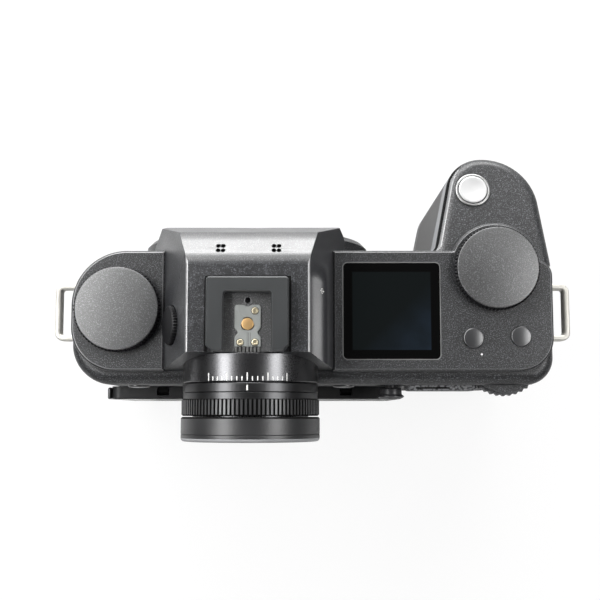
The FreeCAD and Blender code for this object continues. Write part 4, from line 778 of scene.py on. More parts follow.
@dataclass
class Assembly:
    """A group of pieces. Its builders add each piece to the scene and ride it on a body."""

    edge: float = 0.22 * MM
    sharp: float = math.radians(32)
    made: list[str] = field(default_factory=list)

    def place(self, name: str, mesh: bpy.types.Mesh, surface: Surface, body: str,
              replaces: Iterable[str] = (), rim: Surface | None = None,
              edge: float | None = None) -> bpy.types.Object:
        """Put a finished mesh on a body.

        Args:
            name: name of the piece.
            mesh: its mesh, in place.
            surface: its finish.
            body: body that carries it.
            replaces: nodes that it stands for.
            rim: finish of its rounded edges, if they differ; a lighter one there is painted highlight.
            edge: width of its rounded edges; 0 leaves them as they are.

        Returns:
            The piece.
        """
        mesh.name = name
        mesh.materials.clear()
        mesh.materials.append(surface.material())
        if rim:
            mesh.materials.append(rim.material())
        mesh.shade_smooth()
        piece = bpy.data.objects.new(name, mesh)
        bpy.context.scene.collection.objects.link(piece)
        if edge:
            bevel = piece.modifiers.new("rounded edges", "BEVEL")
            bevel.width = edge
            bevel.segments = 2
            bevel.limit_method = "ANGLE"
            bevel.angle_limit = self.sharp
            # Painted highlight: the rounded edges take the rim's lighter finish.
            bevel.material = 1 if rim else -1
            bevel.miter_outer = "MITER_ARC"
        else:
            mesh.set_sharp_from_angle(angle=self.sharp)
        even = piece.modifiers.new("even shading", "WEIGHTED_NORMAL")
        even.keep_sharp = True
        even.weight = 80
        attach(piece, body)
        if replaces:
            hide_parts(*replaces)
        self.made.append(name)
        return piece

    def shell(self, node: str, surface: Surface, rim: Surface | None = None,
              edge: float | None = None, trims: Sequence[tuple[Vector, Vector]] = (),
              reshape: Callable[[bmesh.types.BMesh], None] | None = None) -> bpy.types.Object:
        """Copy a CAD piece and round its sharp edges, as they are on a made part.

        Args:
            node: the CAD node.
            surface: its finish.
            rim: finish of the rounded edges; a lighter one there is painted highlight.
            edge: width of the rounded edges.
            trims: point and outward direction of each flat cut across a corner.
            reshape: last change to the form before its edges are rounded.

        Returns:
            The piece.
        """
        source = frame["nodes"][node]
        form = bmesh.new()
        form.from_mesh(source.data)
        bmesh.ops.remove_doubles(form, verts=form.verts, dist=WELD)
        for point, outward in trims:
            cut = bmesh.ops.bisect_plane(form, geom=form.verts[:] + form.edges[:] + form.faces[:],
                                         plane_co=point, plane_no=outward, clear_outer=True)
            rims = [item for item in cut["geom_cut"] if isinstance(item, bmesh.types.BMEdge)]
            bmesh.ops.edgenet_fill(form, edges=rims)
        if reshape:
            reshape(form)
        bmesh.ops.dissolve_limit(form, angle_limit=FLAT, verts=form.verts, edges=form.edges)
        mesh = bpy.data.meshes.new(node)
        form.to_mesh(mesh)
        form.free()
        return self.place(node + "_dressed", mesh, surface, source["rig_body"], [node], rim,
                          self.edge if edge is None else edge)

    def repaint(self, piece: bpy.types.Object, surface: Surface,
                chosen: Callable[[bpy.types.MeshPolygon], bool]) -> None:
        """Give some faces of a piece another finish.

        Args:
            piece: the piece.
            surface: the finish.
            chosen: whether a face gets it.
        """
        piece.data.materials.append(surface.material())
        last = len(piece.data.materials) - 1
        for face in piece.data.polygons:
            if chosen(face):
                face.material_index = last

    def button(self, node: str, axis: Vector, surface: Surface, dome: float = 0.25 * MM,
               round_top: float = 0.45 * MM) -> bpy.types.Object:
        """Replace a press button by one with a rounded, domed top.

        Args:
            node: the CAD node.
            axis: outward direction, along Y or Z.
            surface: its finish.
            dome: rise of the middle over the rim.
            round_top: rounding of the rim.

        Returns:
            The piece.
        """
        low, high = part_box(node)
        length = abs((high - low).dot(axis))
        radius = (high.x - low.x) / 2 - BUTTON_SKIRT
        stops = button_stops(radius, length, round_top, dome)
        return self.turned(node, stops, middle(node) - axis * length / 2, axis, surface)

    def keep(self, node: str, surface: Surface) -> None:
        """Leave a CAD piece as it is and give it a finish.

        Args:
            node: the CAD node.
            surface: its finish.
        """
        mesh = frame["nodes"][node].data
        mesh.materials.clear()
        mesh.materials.append(surface.material())

    def turned(self, node: str, stops: Sequence[Stop], base: Vector, axis: Vector, surface: Surface,
               teeth: Teeth | None = None, closed: bool = False) -> bpy.types.Object:
        """Replace a CAD piece by one turned from a profile.

        Args:
            node: the CAD node.
            stops: radius, distance and rounding of each corner.
            base: point that distances start from.
            axis: direction of the distances.
            surface: its finish.
            teeth: teeth cut round it.
            closed: whether the profile is a ring's.

        Returns:
            The piece.
        """
        mesh = turned_mesh(stops, base, axis, teeth, closed)
        return self.place(node + "_turned", mesh, surface, frame["nodes"][node]["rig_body"], [node])

    def report(self) -> None:
        """Log the pieces that were made."""
        for name in self.made:
            log.info("%s: %s", type(self).__name__, name)


def joint(name: str) -> tuple[Vector, Vector]:
    """Place and axis of a joint."""
    found = next(each for each in frame["joints"] if each["name"] == name)
    return Vector(found.get("pos_m", (0, 0, 0))), Vector(found["axis"]).normalized()


def middle(node: str) -> Vector:
    """Centre of a node's box."""
    low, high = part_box(node)
    return (low + high) / 2


def crown_stops(radius: float, height: float, rise: float, cuts: int = 10,
                flatness: float = 0.0) -> list[Stop]:
    """Stops of a domed top, inward from its rim.

    Args:
        radius: radius of the rim.
        height: height of the middle.
        rise: rise of the middle over the rim; less than 0 makes a dish.
        cuts: steps from the rim to the middle.
        flatness: share of the rise that is taken off between rim and middle.

    Returns:
        The stops, the middle last.
    """
    stops = []
    for cut in range(1, cuts + 1):
        share = 1 - cut / cuts
        fall = rise * share * share * (1 - flatness * (1 - share))
        stops.append((radius * share, height - fall, 0.0))
    return stops


def button_stops(radius: float, height: float, round_top: float, dome: float) -> list[Stop]:
    """Profile of a button with a skirt and a domed top.

    Args:
        radius: radius of the button.
        height: height of its middle over the foot of the skirt.
        round_top: rounding of the rim.
        dome: rise of the middle over the rim.

    Returns:
        The stops, from the middle of the foot to the middle of the top.
    """
    skirt = radius + BUTTON_SKIRT
    stops = [(0.0, 0.0, 0.0), (skirt, 0.0, 0.0), (skirt, SKIRT_THICKNESS, 0.0),
             (radius, SKIRT_THICKNESS, 0.0), (radius, height - round_top - dome, 0.05 * MM)]
    cuts = 10
    for cut in range(1, cuts + 1):
        angle = math.pi / 2 * cut / cuts
        inset = radius - round_top + round_top * math.cos(angle)
        stops.append((inset, height - dome - round_top + round_top * math.sin(angle), 0.0))
    return stops + crown_stops(radius - round_top, height, dome)


@dataclass
class Body(Assembly):
    """Casting, plates, coverings and what is fixed to them."""

    thread_crest: float = 2.6 * MM
    thread_root: float = 3.1 * MM
    thread_foot: float = 0.6 * MM
    thread_pitch: float = 1.27 * MM
    thread_flank: float = 0.42
    thread_end: float = 1.5 * MM
    thread_steps: int = 32
    bushing: float = 5.2 * MM
    bushing_depth: float = 0.8 * MM
    bushing_proud: float = 0.04 * MM
    bushing_bevel: float = 0.3 * MM

    def build(self) -> None:
        """Make the body's pieces."""
        for node in ("body_casting", "left_top_plate", "right_top_plate"):
            self.shell(node, Surface.PAINT, Surface.EDGE, 0.16 * MM)
        self.grip_top()
        self.shell("rear_cover", Surface.PAINT, Surface.EDGE, 0.14 * MM)
        self.shell("base_plate", Surface.PAINT, Surface.EDGE)
        self.tripod_socket()
        self.shell("body_screws", Surface.STEEL, edge=0.1 * MM)
        for node in ("front_covering_left", "grip_covering"):
            self.shell(node, Surface.LEATHER, edge=0.2 * MM)
        # The thumb rest takes a light grey leather: painted reflection.
        self.shell("thumb_rest", Surface.PAD, edge=0.0)
        self.shell("strap_lugs", Surface.LUG, edge=0.55 * MM)
        self.shell("lamp_window", Surface.LAMP, edge=0.0)

    def grip_top(self) -> None:
        """Cover of the grip: a lighter bluish inner wall as painted reflection, painted shade in its dark
        gaps and a painted highlight along its edge line.
        """
        cover = self.shell("grip_top_cover", Surface.PAINT, Surface.EDGE, 0.16 * MM)
        # Painted reflection: the upright inner wall gets a lighter, bluish paint.
        self.repaint(cover, Surface.WALL,
                     lambda face: face.normal.x > 0.8 and abs(face.normal.z) < 0.2)
        # Painted shade on the steep faces between the wall and the chamfer.
        self.repaint(cover, Surface.WELL,
                     lambda face: face.normal.x > 0.5 and 0.2 <= face.normal.z < 0.62)
        # Painted highlight on the chamfer.
        self.repaint(cover, Surface.RIDGE,
                     lambda face: face.normal.x > 0.45 and 0.62 <= face.normal.z < 0.84)
        # Painted shade on the sloping faces of the other side.
        self.repaint(cover, Surface.WELL,
                     lambda face: face.normal.x < -0.3 and 0.15 < face.normal.z < 0.5)

    def tripod_socket(self) -> None:
        """Socket block with a steel bushing and its thread."""
        crest = self.thread_crest
        root = self.thread_root

        def widen(form: bmesh.types.BMesh) -> None:
            """Open the bore to the root of the thread.

            Args:
                form: copy of the CAD socket.
            """
            for vert in form.verts:
                across = Vector((vert.co.x, vert.co.y, 0))
                if abs(across.length - crest) < 0.1 * MM:
                    vert.co += across.normalized() * (root - across.length)

        socket = self.shell("tripod_socket", Surface.PAINT, Surface.EDGE, 0.1 * MM, reshape=widen)
        mouth = root + self.bushing_bevel
        self.repaint(socket, Surface.STEEL, lambda face: Vector(face.center[:2]).length < mouth)
        stops = [(root, self.bushing_depth, 0.0), (root, 0.1 * MM, 0.0),
                 (mouth, -self.bushing_proud, 0.0), (self.bushing, -self.bushing_proud, 0.1 * MM),
                 (self.bushing, self.bushing_depth, 0.0)]
        self.place("tripod_bushing", turned_mesh(stops, Vector(), UP, closed=True, steps=96),
                   Surface.STEEL, "camera")
        self.thread()

    def thread(self) -> None:
        """Thread of the tripod socket, wound up its bore."""
        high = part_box("tripod_socket")[1]
        steps = self.thread_steps
        turns = (high.z - self.thread_end - self.thread_foot) / self.thread_pitch
        wide = UP * self.thread_pitch * self.thread_flank
        form = bmesh.new()
        rows = []
        for step in range(int(turns * steps)):
            angle = 2 * math.pi * step / steps
            outward = Vector((math.cos(angle), math.sin(angle), 0))
            rise = UP * (self.thread_foot + self.thread_pitch * step / steps)
            root = outward * (self.thread_root + 0.02 * MM) + rise
            crest = outward * self.thread_crest + rise
            rows.append([form.verts.new(root - wide), form.verts.new(crest), form.verts.new(root + wide)])
        for first, second in zip(rows, rows[1:]):
            for side in (0, 1):
                form.faces.new((first[side], first[side + 1], second[side + 1], second[side]))
        self.place("tripod_thread", meshed(form), Surface.STEEL, "camera")


@dataclass
class Hump(Assembly):
    """Viewfinder hump, hot shoe and diopter wheel."""

    plate_corner: float = 0.85 * MM
    plate_dip: float = 0.45 * MM
    plate_dip_half: float = 1.5 * MM
    plate_gap: float = 0.28 * MM
    tracks: tuple[float, ...] = (0.1 * MM, -0.27 * MM, -0.76 * MM)
    track_width: float = 0.11 * MM
    waist: float = 2.7 * MM
    waist_y: float = 5.5 * MM
    waist_run: float = 1.5 * MM
    comb_front: float = 9.3 * MM
    comb_fingers: int = 7
    centre_contact: Vector = field(default_factory=lambda: Vector((0, 3.2 * MM, 0)))
    centre_radius: float = 1.62 * MM
    small_contacts: tuple[tuple[float, float], ...] = ((-2.0 * MM, -0.4 * MM), (2.0 * MM, 8.2 * MM),
                                                       (-2.0 * MM, 8.2 * MM))
    small_radius: float = 0.92 * MM
    small_gap: float = 0.13 * MM
    pin_hole: Vector = field(default_factory=lambda: Vector((0, -3.3 * MM, 0)))
    pin_radius: float = 0.8 * MM
    pin_lip: float = 0.98 * MM
    film_mark: Vector = field(default_factory=lambda: Vector((-20.45, -7.0, 94.8)) * MM)
    film_mark_radius: float = 0.8 * MM
    film_mark_half: float = 1.6 * MM
    film_mark_line: float = 0.18 * MM
    wheel_dot: Vector = field(default_factory=lambda: Vector((23.45, 5.4, 89.7)) * MM)
    wheel_dot_radius: float = 0.24 * MM
    paint_thickness: float = 0.03 * MM
    mic_group: float = 7.7 * MM
    mic_half: float = 0.7 * MM
    mic_y: float = -18.1 * MM
    mic_reach: float = 0.56 * MM
    mic_widen: float = 0.28
    mic_lengthen: float = 0.2
    brow_top: Vector = field(default_factory=lambda: Vector((-14.3, 104.0)) * MM)
    brow_foot: Vector = field(default_factory=lambda: Vector((-23.2, 98.0)) * MM)
    brow_sag: float = 1.3 * MM
    brow_depth: float = 0.9 * MM
    brow_cuts: int = 10
    brow_span: float = 1.9
    ridge_inner: float = 0.6 * MM
    ridge_outer: float = 0.4 * MM
    cheek_left: float = 8.15
    cheek_right: float = 6.9
    cheek_fall: float = 18.0
    brow_ease: float = 2.5 * MM
    brow_shift: float = 0.9 * MM
    brow_flush: float = 0.09 * MM
    seam: float = 0.34 * MM
    seam_front: float = -19.7 * MM
    groove: float = 0.55 * MM
    ridge: float = 16.9 * MM
    ridge_reach: float = 0.8 * MM
    corner_half: float = 25.8 * MM
    corner_slant: Vector = field(default_factory=lambda: Vector((0.52, 0.86, 0)))

    def build(self) -> None:
        """Make the hump's pieces."""
        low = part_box("viewfinder_hump")[0]
        slant = self.corner_slant
        trims = [(Vector((side * self.corner_half, low.y, 0)), Vector((side * slant.y, -slant.x, 0)))
                 for side in (1, -1)]
        hump = self.shell("viewfinder_hump", Surface.HUMP, Surface.EDGE, 0.14 * MM, trims,
                          self.refine)
        # Painted highlight on the rounded ridges between the top and the cheeks.
        self.repaint(hump, Surface.RIDGE, lambda face: self.on_ridge(face.center, face.normal))
        self.repaint(hump, Surface.BROW, lambda face: abs(face.normal.x) < 0.2
                     and 0.3 < -face.normal.y < 0.8 and face.normal.z > 0.3)
        self.repaint(hump, Surface.CHEEK, lambda face: face.normal.x < -0.85)
        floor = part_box("shoe_contact_plate")[0].z
        rails = self.shell("hot_shoe", Surface.RAIL, Surface.EDGE, 0.11 * MM)
        self.repaint(rails, Surface.DIAL, lambda face: face.center.z < floor and face.normal.z > 0.9)
        self.contact_plate()
        self.contacts()
        self.shell("diopter_wheel", Surface.KNURL, edge=0.08 * MM)
        self.marks()
        self.seams()

    def seams(self) -> None:
        """Painted shade: dark strips laid over the gaps beside the hump's feet and round the hot shoe."""
        form = bmesh.new()
        lift = UP * 0.04 * MM
        for node, side in (("left_top_plate", 1), ("right_top_plate", -1)):
            low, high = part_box(node)
            inner = low.x if side > 0 else high.x
            start = Vector((inner - side * self.seam / 2, self.seam_front, high.z - 0.02 * MM))
            end = Vector((start.x, high.y - 0.3 * MM, start.z))
            add_slab(form, bar(start, end, EAST * self.seam), lift)
        low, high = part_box("hot_shoe")
        top = self.brow_top[1]
        for side in (-1, 1):
            x = side * (high.x + self.groove / 2)
            add_slab(form, bar(Vector((x, low.y - self.groove, top)), Vector((x, high.y, top)),
                               EAST * self.groove), lift)
        y = low.y - self.groove / 2
        add_slab(form, bar(Vector((low.x, y, top)), Vector((high.x, y, top)), BACK * self.groove), lift)
        self.place("seam_shade_strips", meshed(form), Surface.WELL, "camera")

    def old_brow(self, along: float) -> float:
        """Height of the CAD brow's arc at a place along Y.

        Args:
            along: place along Y.

        Returns:
            Its height over the base.
        """
        back, foot = self.brow_top, self.brow_foot
        chord = back - foot
        radius = (chord.length_squared / 4 + self.brow_sag ** 2) / (2 * self.brow_sag)
        outward = Vector((-chord.y, chord.x)).normalized()
        centre = (back + foot) / 2 - outward * (radius - self.brow_sag)
        if along > back.x:
            return back.y
        return centre.y + math.sqrt(radius ** 2 - (along - centre.x) ** 2)

    def new_brow(self, along: float) -> float:
        """Height of the brow when it runs straight and eases into the top.

        Args:
            along: place along Y.

        Returns:
            Its height over the base.
        """
        chord = self.brow_top - self.brow_foot
        slope = math.atan2(chord.y, chord.x - self.brow_shift)
        radius = self.brow_ease / math.tan(slope / 2)
        start = self.brow_top.x - self.brow_shift + self.brow_ease
        reach = start - along
        if reach < 0:
            return self.brow_top.y
        if reach < radius * math.sin(slope):
            return self.brow_top.y - radius + math.sqrt(radius ** 2 - reach ** 2)
        return self.brow_foot.y + (along - self.brow_foot.x) * math.tan(slope)

    def refine(self, form: bmesh.types.BMesh) -> None:
        """Change the hump's form before its edges are rounded.

        Args:
            form: copy of the CAD hump.
        """
        self.draw_out_holes(form)
        self.cut_across(form)
        self.ease_brow(form)

    def draw_out_holes(self, form: bmesh.types.BMesh) -> None:
        """Draw the microphone holes out into ovals.

        Args:
            form: copy of the CAD hump.
        """
        holes = [Vector((group + across * self.mic_half, self.mic_y + along * self.mic_half))
                 for group in (-self.mic_group, self.mic_group)
                 for across in (-1, 1)
                 for along in (-1, 1)]
        for vert in form.verts:
            for hole in holes:
                arm = vert.co.xy - hole
                if arm.length < self.mic_reach:
                    vert.co.x += arm.x * self.mic_widen
                    vert.co.y += arm.y * self.mic_lengthen

    def cut_across(self, form: bmesh.types.BMesh) -> None:
        """Add edges across the hump where the brow turns into the top.

        Args:
            form: copy of the CAD hump.
        """
        reach = self.brow_span * self.brow_ease
        for cut in range(self.brow_cuts + 1):
            shift = self.brow_ease - reach * cut / self.brow_cuts - self.brow_shift
            place = Vector((0, self.brow_top.x + shift, 0))
            upper = [face for face in form.faces if face.calc_center_bounds().z > self.brow_foot.y]
            edges = {edge for face in upper for edge in face.edges}
            verts = {vert for face in upper for vert in face.verts}
            bmesh.ops.bisect_plane(form, geom=[*verts, *edges, *upper], plane_co=place, plane_no=BACK)

    def ease_brow(self, form: bmesh.types.BMesh) -> None:
        """Move the brow from its arc to its straight, eased form, and its cheeks with it.

        Args:
            form: copy of the CAD hump.
        """
        for vert in form.verts:
            along = vert.co.y
            if not self.brow_foot.x + 0.01 * MM < along < self.brow_top.x + self.brow_ease:
                continue
            before = self.old_brow(along)
            if vert.co.z < before - self.brow_depth:
                continue
            drop = before - self.new_brow(along)
            between_ridges = abs(vert.co.x) < self.ridge - self.ridge_inner
            flush = between_ridges and abs(vert.co.z - before) < self.brow_flush
            vert.co.z = self.new_brow(along) if flush else vert.co.z - drop
            if abs(vert.co.x) > self.ridge - self.ridge_outer:
                run = self.cheek_left if vert.co.x > 0 else -self.cheek_right
                vert.co.x += drop * (run / self.cheek_fall)

    def on_ridge(self, place: Vector, facing: Vector) -> bool:
        """Whether a face belongs to the rounded ridges between the top and the cheeks."""
        near = abs(abs(place.x) - self.ridge) < self.ridge_reach
        return near and 0.1 < abs(facing.x) < 0.93 and facing.z > 0.3 and abs(facing.y) < 0.4

    def plate_outline(self, height: float) -> list[Vector]:
        """Outline of the contact plate: dipped front, round corners and a waist.

        Args:
            height: height of the outline.

        Returns:
            Its corners.
        """
        low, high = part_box("shoe_contact_plate")
        half = high.x
        corner = self.plate_corner
        front = Vector((0, low.y, height))
        cuts = 12
        points = []
        for cut in range(cuts + 1):
            share = 2 * cut / cuts - 1
            depth = self.plate_dip * (1 + math.cos(math.pi * share)) / 2
            points.append(front + Vector((share * self.plate_dip_half, depth, 0)))
        points += arc_points(front + Vector((half - corner, corner, 0)), EAST, BACK, corner,
                             -math.pi / 2, 0, 8)
        side = []
        for cut in range(2 * cuts + 1):
            share = cut / cuts - 1
            inset = (half - self.waist) * (1 + math.cos(math.pi * share)) / 2
            side.append(Vector((half - inset, self.waist_y + share * self.waist_run, height)))
        side.append(Vector((half, self.comb_front, height)))
        points += side
        points += [Vector((-point.x, point.y, height)) for point in reversed(side)]
        points += arc_points(front + Vector((corner - half, corner, 0)), EAST, BACK, corner,
                             math.pi, 1.5 * math.pi, 8)
        return points

    def contact_plate(self) -> None:
        """Grey contact plate with its tracks and the comb at its end."""
        low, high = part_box("shoe_contact_plate")
        rim = self.plate_outline(low.z)
        centre = self.centre_contact + UP * low.z
        clearance = self.centre_radius + self.plate_gap
        hole = [centre + (point - centre).normalized() * clearance for point in rim]
        self.place("contact_plate", slab_mesh(rim, UP * (high.z - low.z), hole), Surface.GREY,
                   "camera", ["shoe_contact_plate"], edge=0.07 * MM)
        tracks = bmesh.new()
        for x in self.tracks:
            start = Vector((x, self.waist_y, high.z))
            end = Vector((x, self.comb_front - 0.1 * MM, high.z))
            add_slab(tracks, bar(start, end, EAST * self.track_width), UP * 0.015 * MM)
        self.place("contact_tracks", meshed(tracks), Surface.LINE, "camera")
        comb = bmesh.new()
        pitch = 2 * high.x / self.comb_fingers
        for finger in range(self.comb_fingers):
            x = (finger + 0.5) * pitch - high.x
            start = Vector((x, self.comb_front + 0.05 * MM, low.z))
            end = Vector((x, high.y, low.z))
            add_slab(comb, bar(start, end, EAST * 0.6 * pitch), UP * (high.z - low.z))
        self.place("contact_comb", meshed(comb), Surface.LINE, "camera", edge=0.05 * MM)

    def contacts(self) -> None:
        """Gold centre contact and three small contacts, each in a ring of painted shade."""
        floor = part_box("shoe_contact_plate")[0].z
        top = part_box("shoe_contact_plate")[1].z
        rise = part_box("shoe_contacts")[1].z - floor
        stops = [(0.0, 0.0, 0.0), (self.centre_radius, 0.0, 0.0),
                 (self.centre_radius, rise, 0.16 * MM), (0.0, rise, 0.0)]
        self.place("centre_contact", turned_mesh(stops, self.centre_contact + UP * floor, UP, steps=64),
                   Surface.GOLD, "camera", ["shoe_contacts"])
        reach = self.small_radius
        outer = reach + self.small_gap
        dish = rise - 0.12 * MM
        stops = [(0.0, 0.0, 0.0), (reach, 0.0, 0.0), (reach, rise, 0.22 * MM),
                 (0.5 * reach, rise, 0.1 * MM), (0.4 * reach, dish, 0.0), (0.0, dish, 0.0)]
        gap = [(reach, 0.0, 0.0), (outer, 0.0, 0.0), (outer, 0.02 * MM, 0.0), (reach, 0.02 * MM, 0.0)]
        for number, (x, y) in enumerate(self.small_contacts):
            foot = Vector((x, y, floor))
            self.place(f"small_contact_{number}", turned_mesh(stops, foot, UP, steps=48),
                       Surface.PALE_GOLD, "camera")
            # Painted shade: a thin dark ring over the gap round each small contact.
            ring = turned_mesh(gap, Vector((x, y, top)), UP, closed=True, steps=48)
            self.place(f"small_contact_shade_ring_{number}", ring, Surface.WELL, "camera")
        hole = self.pin_radius
        stops = [(hole, -0.2 * MM, 0.0), (self.pin_lip, -0.2 * MM, 0.0), (self.pin_lip, 0.0, 0.0),
                 (hole + 0.04 * MM, 0.09 * MM, 0.03 * MM), (hole, 0.06 * MM, 0.0)]
        lip = turned_mesh(stops, self.pin_hole + UP * (floor - 0.05 * MM), UP, closed=True, steps=48)
        # The lip takes the lighter edge finish: painted highlight.
        self.place("pin_hole_lip", lip, Surface.EDGE, "camera")

    def marks(self) -> None:
        """White film-plane mark on the right cheek and a dot beside the diopter wheel."""
        down = Vector((-self.cheek_right, 0, -self.cheek_fall)).normalized()
        outward = Vector((-self.cheek_fall, 0, self.cheek_right)).normalized()
        paint = outward * self.paint_thickness
        radius = self.film_mark_radius
        form = bmesh.new()
        centre = self.film_mark + outward * 0.01 * MM
        add_slab(form, circle(centre, down, BACK, radius), paint,
                 circle(centre, down, BACK, radius - self.film_mark_line))
        reach = down * self.film_mark_half
        add_slab(form, bar(centre - reach, centre + reach, BACK * self.film_mark_line), paint)
        self.place("film_plane_mark", meshed(form), Surface.WHITE, "camera")
        across = Vector((self.cheek_left, 0, -self.cheek_fall)).normalized()
        facing = Vector((self.cheek_fall, 0, self.cheek_left)).normalized()
        dot = circle(self.wheel_dot, across, BACK, self.wheel_dot_radius, 16)
        self.place("wheel_dot", slab_mesh(dot, facing * self.paint_thickness), Surface.WHITE, "camera")


@dataclass
class TopControls(Assembly):
    """Dials, buttons, shutter button and display."""

    dial_bevel: float = 0.55 * MM
    dial_dome: float = 0.75 * MM
    dial_flatness: float = 0.08
    dial_height: float = 3.7 * MM
    dial_stem: float = 3 * MM
    knurl_height: float = 2.4 * MM
    knurl_bevel: float = 0.3 * MM
    knurl_depth: float = 0.5 * MM
    knurl_teeth: int = 72
    dot_place: Vector = field(default_factory=lambda: Vector((-66.7, 10.35, 86.0)) * MM)
    dot_radius: float = 0.3 * MM
    frame_outside: float = 0.05 * MM
    frame_inside: float = 0.2 * MM
    frame_round: float = 1.5 * MM
    shutter_radius: float = 4.3 * MM
    shutter_gap: float = 0.12 * MM
    shutter_rise: float = 0.35 * MM
    shutter_rim: float = 0.55 * MM
    shutter_dish: float = 0.3 * MM
    shutter_dish_inset: float = 0.75 * MM
    skirt_drop: float = -1.0 * MM

    def build(self) -> None:
        """Make the controls on the top plates."""
        self.dial("left_dial")
        self.dial("right_dial")
        for node in ("top_button_inner", "top_button_outer"):
            self.button(node, UP, Surface.KEY)
        self.display()
        dot = circle(self.dot_place, EAST, BACK, self.dot_radius, 20)
        self.place("button_dot", slab_mesh(dot, UP * 0.03 * MM), Surface.WHITE, "camera")
        self.keep("top_display_panel", Surface.PANEL)
        self.shutter()

    def display(self) -> None:
        """Glass of the top display in its thin bright frame."""
        self.shell("top_display_glass", Surface.DISPLAY, edge=0.1 * MM)
        low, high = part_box("top_display_glass")
        centre = Vector((middle("top_display_glass").x, middle("top_display_glass").y, high.z))
        half = (high.x - low.x) / 2
        width = self.frame_outside + self.frame_inside
        rim = rounded_square(centre, half + self.frame_outside, self.frame_round)
        hole = rounded_square(centre, half - self.frame_inside, self.frame_round - width)
        self.place("display_frame", slab_mesh(rim, UP * 0.05 * MM, hole), Surface.SILVER, "camera")

    def shutter(self) -> None:
        """Shutter button with a dished face, in its round collar."""
        normal = -joint("shutter_press")[1]
        collar = middle("shutter_collar")
        low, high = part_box("shutter_collar")
        outer = (high.x - low.x) / 2
        bore = self.shutter_radius + self.shutter_gap
        height = (high.z - low.z - 2 * outer * abs(normal.y)) / normal.z
        foot = collar - normal * height / 2
        stops = [(bore, 0.0, 0.0), (outer, 0.0, 0.0), (outer, height, 0.45 * MM),
                 (bore + self.shutter_gap, height + 0.02 * MM, 0.25 * MM),
                 (bore, height - 0.3 * MM, 0.0)]
        self.turned("shutter_collar", stops, foot, normal, Surface.SILVER, closed=True)
        radius = self.shutter_radius
        top = height + self.shutter_rise
        skirt = radius + BUTTON_SKIRT
        sole = self.skirt_drop - SKIRT_THICKNESS
        stops = [(0.0, sole, 0.0), (skirt, sole, 0.0), (skirt, self.skirt_drop, 0.0),
                 (radius, self.skirt_drop, 0.0), (radius, top - 0.05 * MM, 0.3 * MM),
                 (radius - self.shutter_rim, top, 0.2 * MM)]
        stops += crown_stops(radius - self.shutter_dish_inset, top - self.shutter_dish,
                             -self.shutter_dish)
        self.turned("shutter_button", stops, foot, normal, Surface.SATIN)

    def dial(self, node: str) -> None:
        """Low domed dial with a knurled rim under its cap.

        Args:
            node: the CAD node.
        """
        low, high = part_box(node)
        outer = (high.x - low.x) / 2
        cap = outer - self.knurl_depth
        base = Vector((middle(node).x, middle(node).y, low.z))
        top = high.z - low.z
        foot = top - self.dial_height
        rim = foot + self.knurl_height
        bevel = self.knurl_bevel
        stem = self.dial_stem
        stops = [(0.0, 0.0, 0.0), (stem, 0.0, 0.0), (stem, foot, 0.0), (outer - bevel, foot, 0.0),
                 (outer, foot + bevel, 0.0), (outer, rim - bevel, 0.0),
                 (cap, rim, 0.1 * MM), (cap, top - self.dial_dome, self.dial_bevel)]
        stops += crown_stops(cap - self.dial_bevel, top, self.dial_dome, 14, self.dial_flatness)
        teeth = Teeth(self.knurl_teeth, self.knurl_depth, foot + 0.01 * MM, rim - 0.01 * MM)
        knob = self.turned(node, stops, base, UP, Surface.DIAL, teeth)
        edge = low.z + rim + 0.05 * MM
        self.repaint(knob, Surface.KNURL, lambda face: face.center.z < edge)


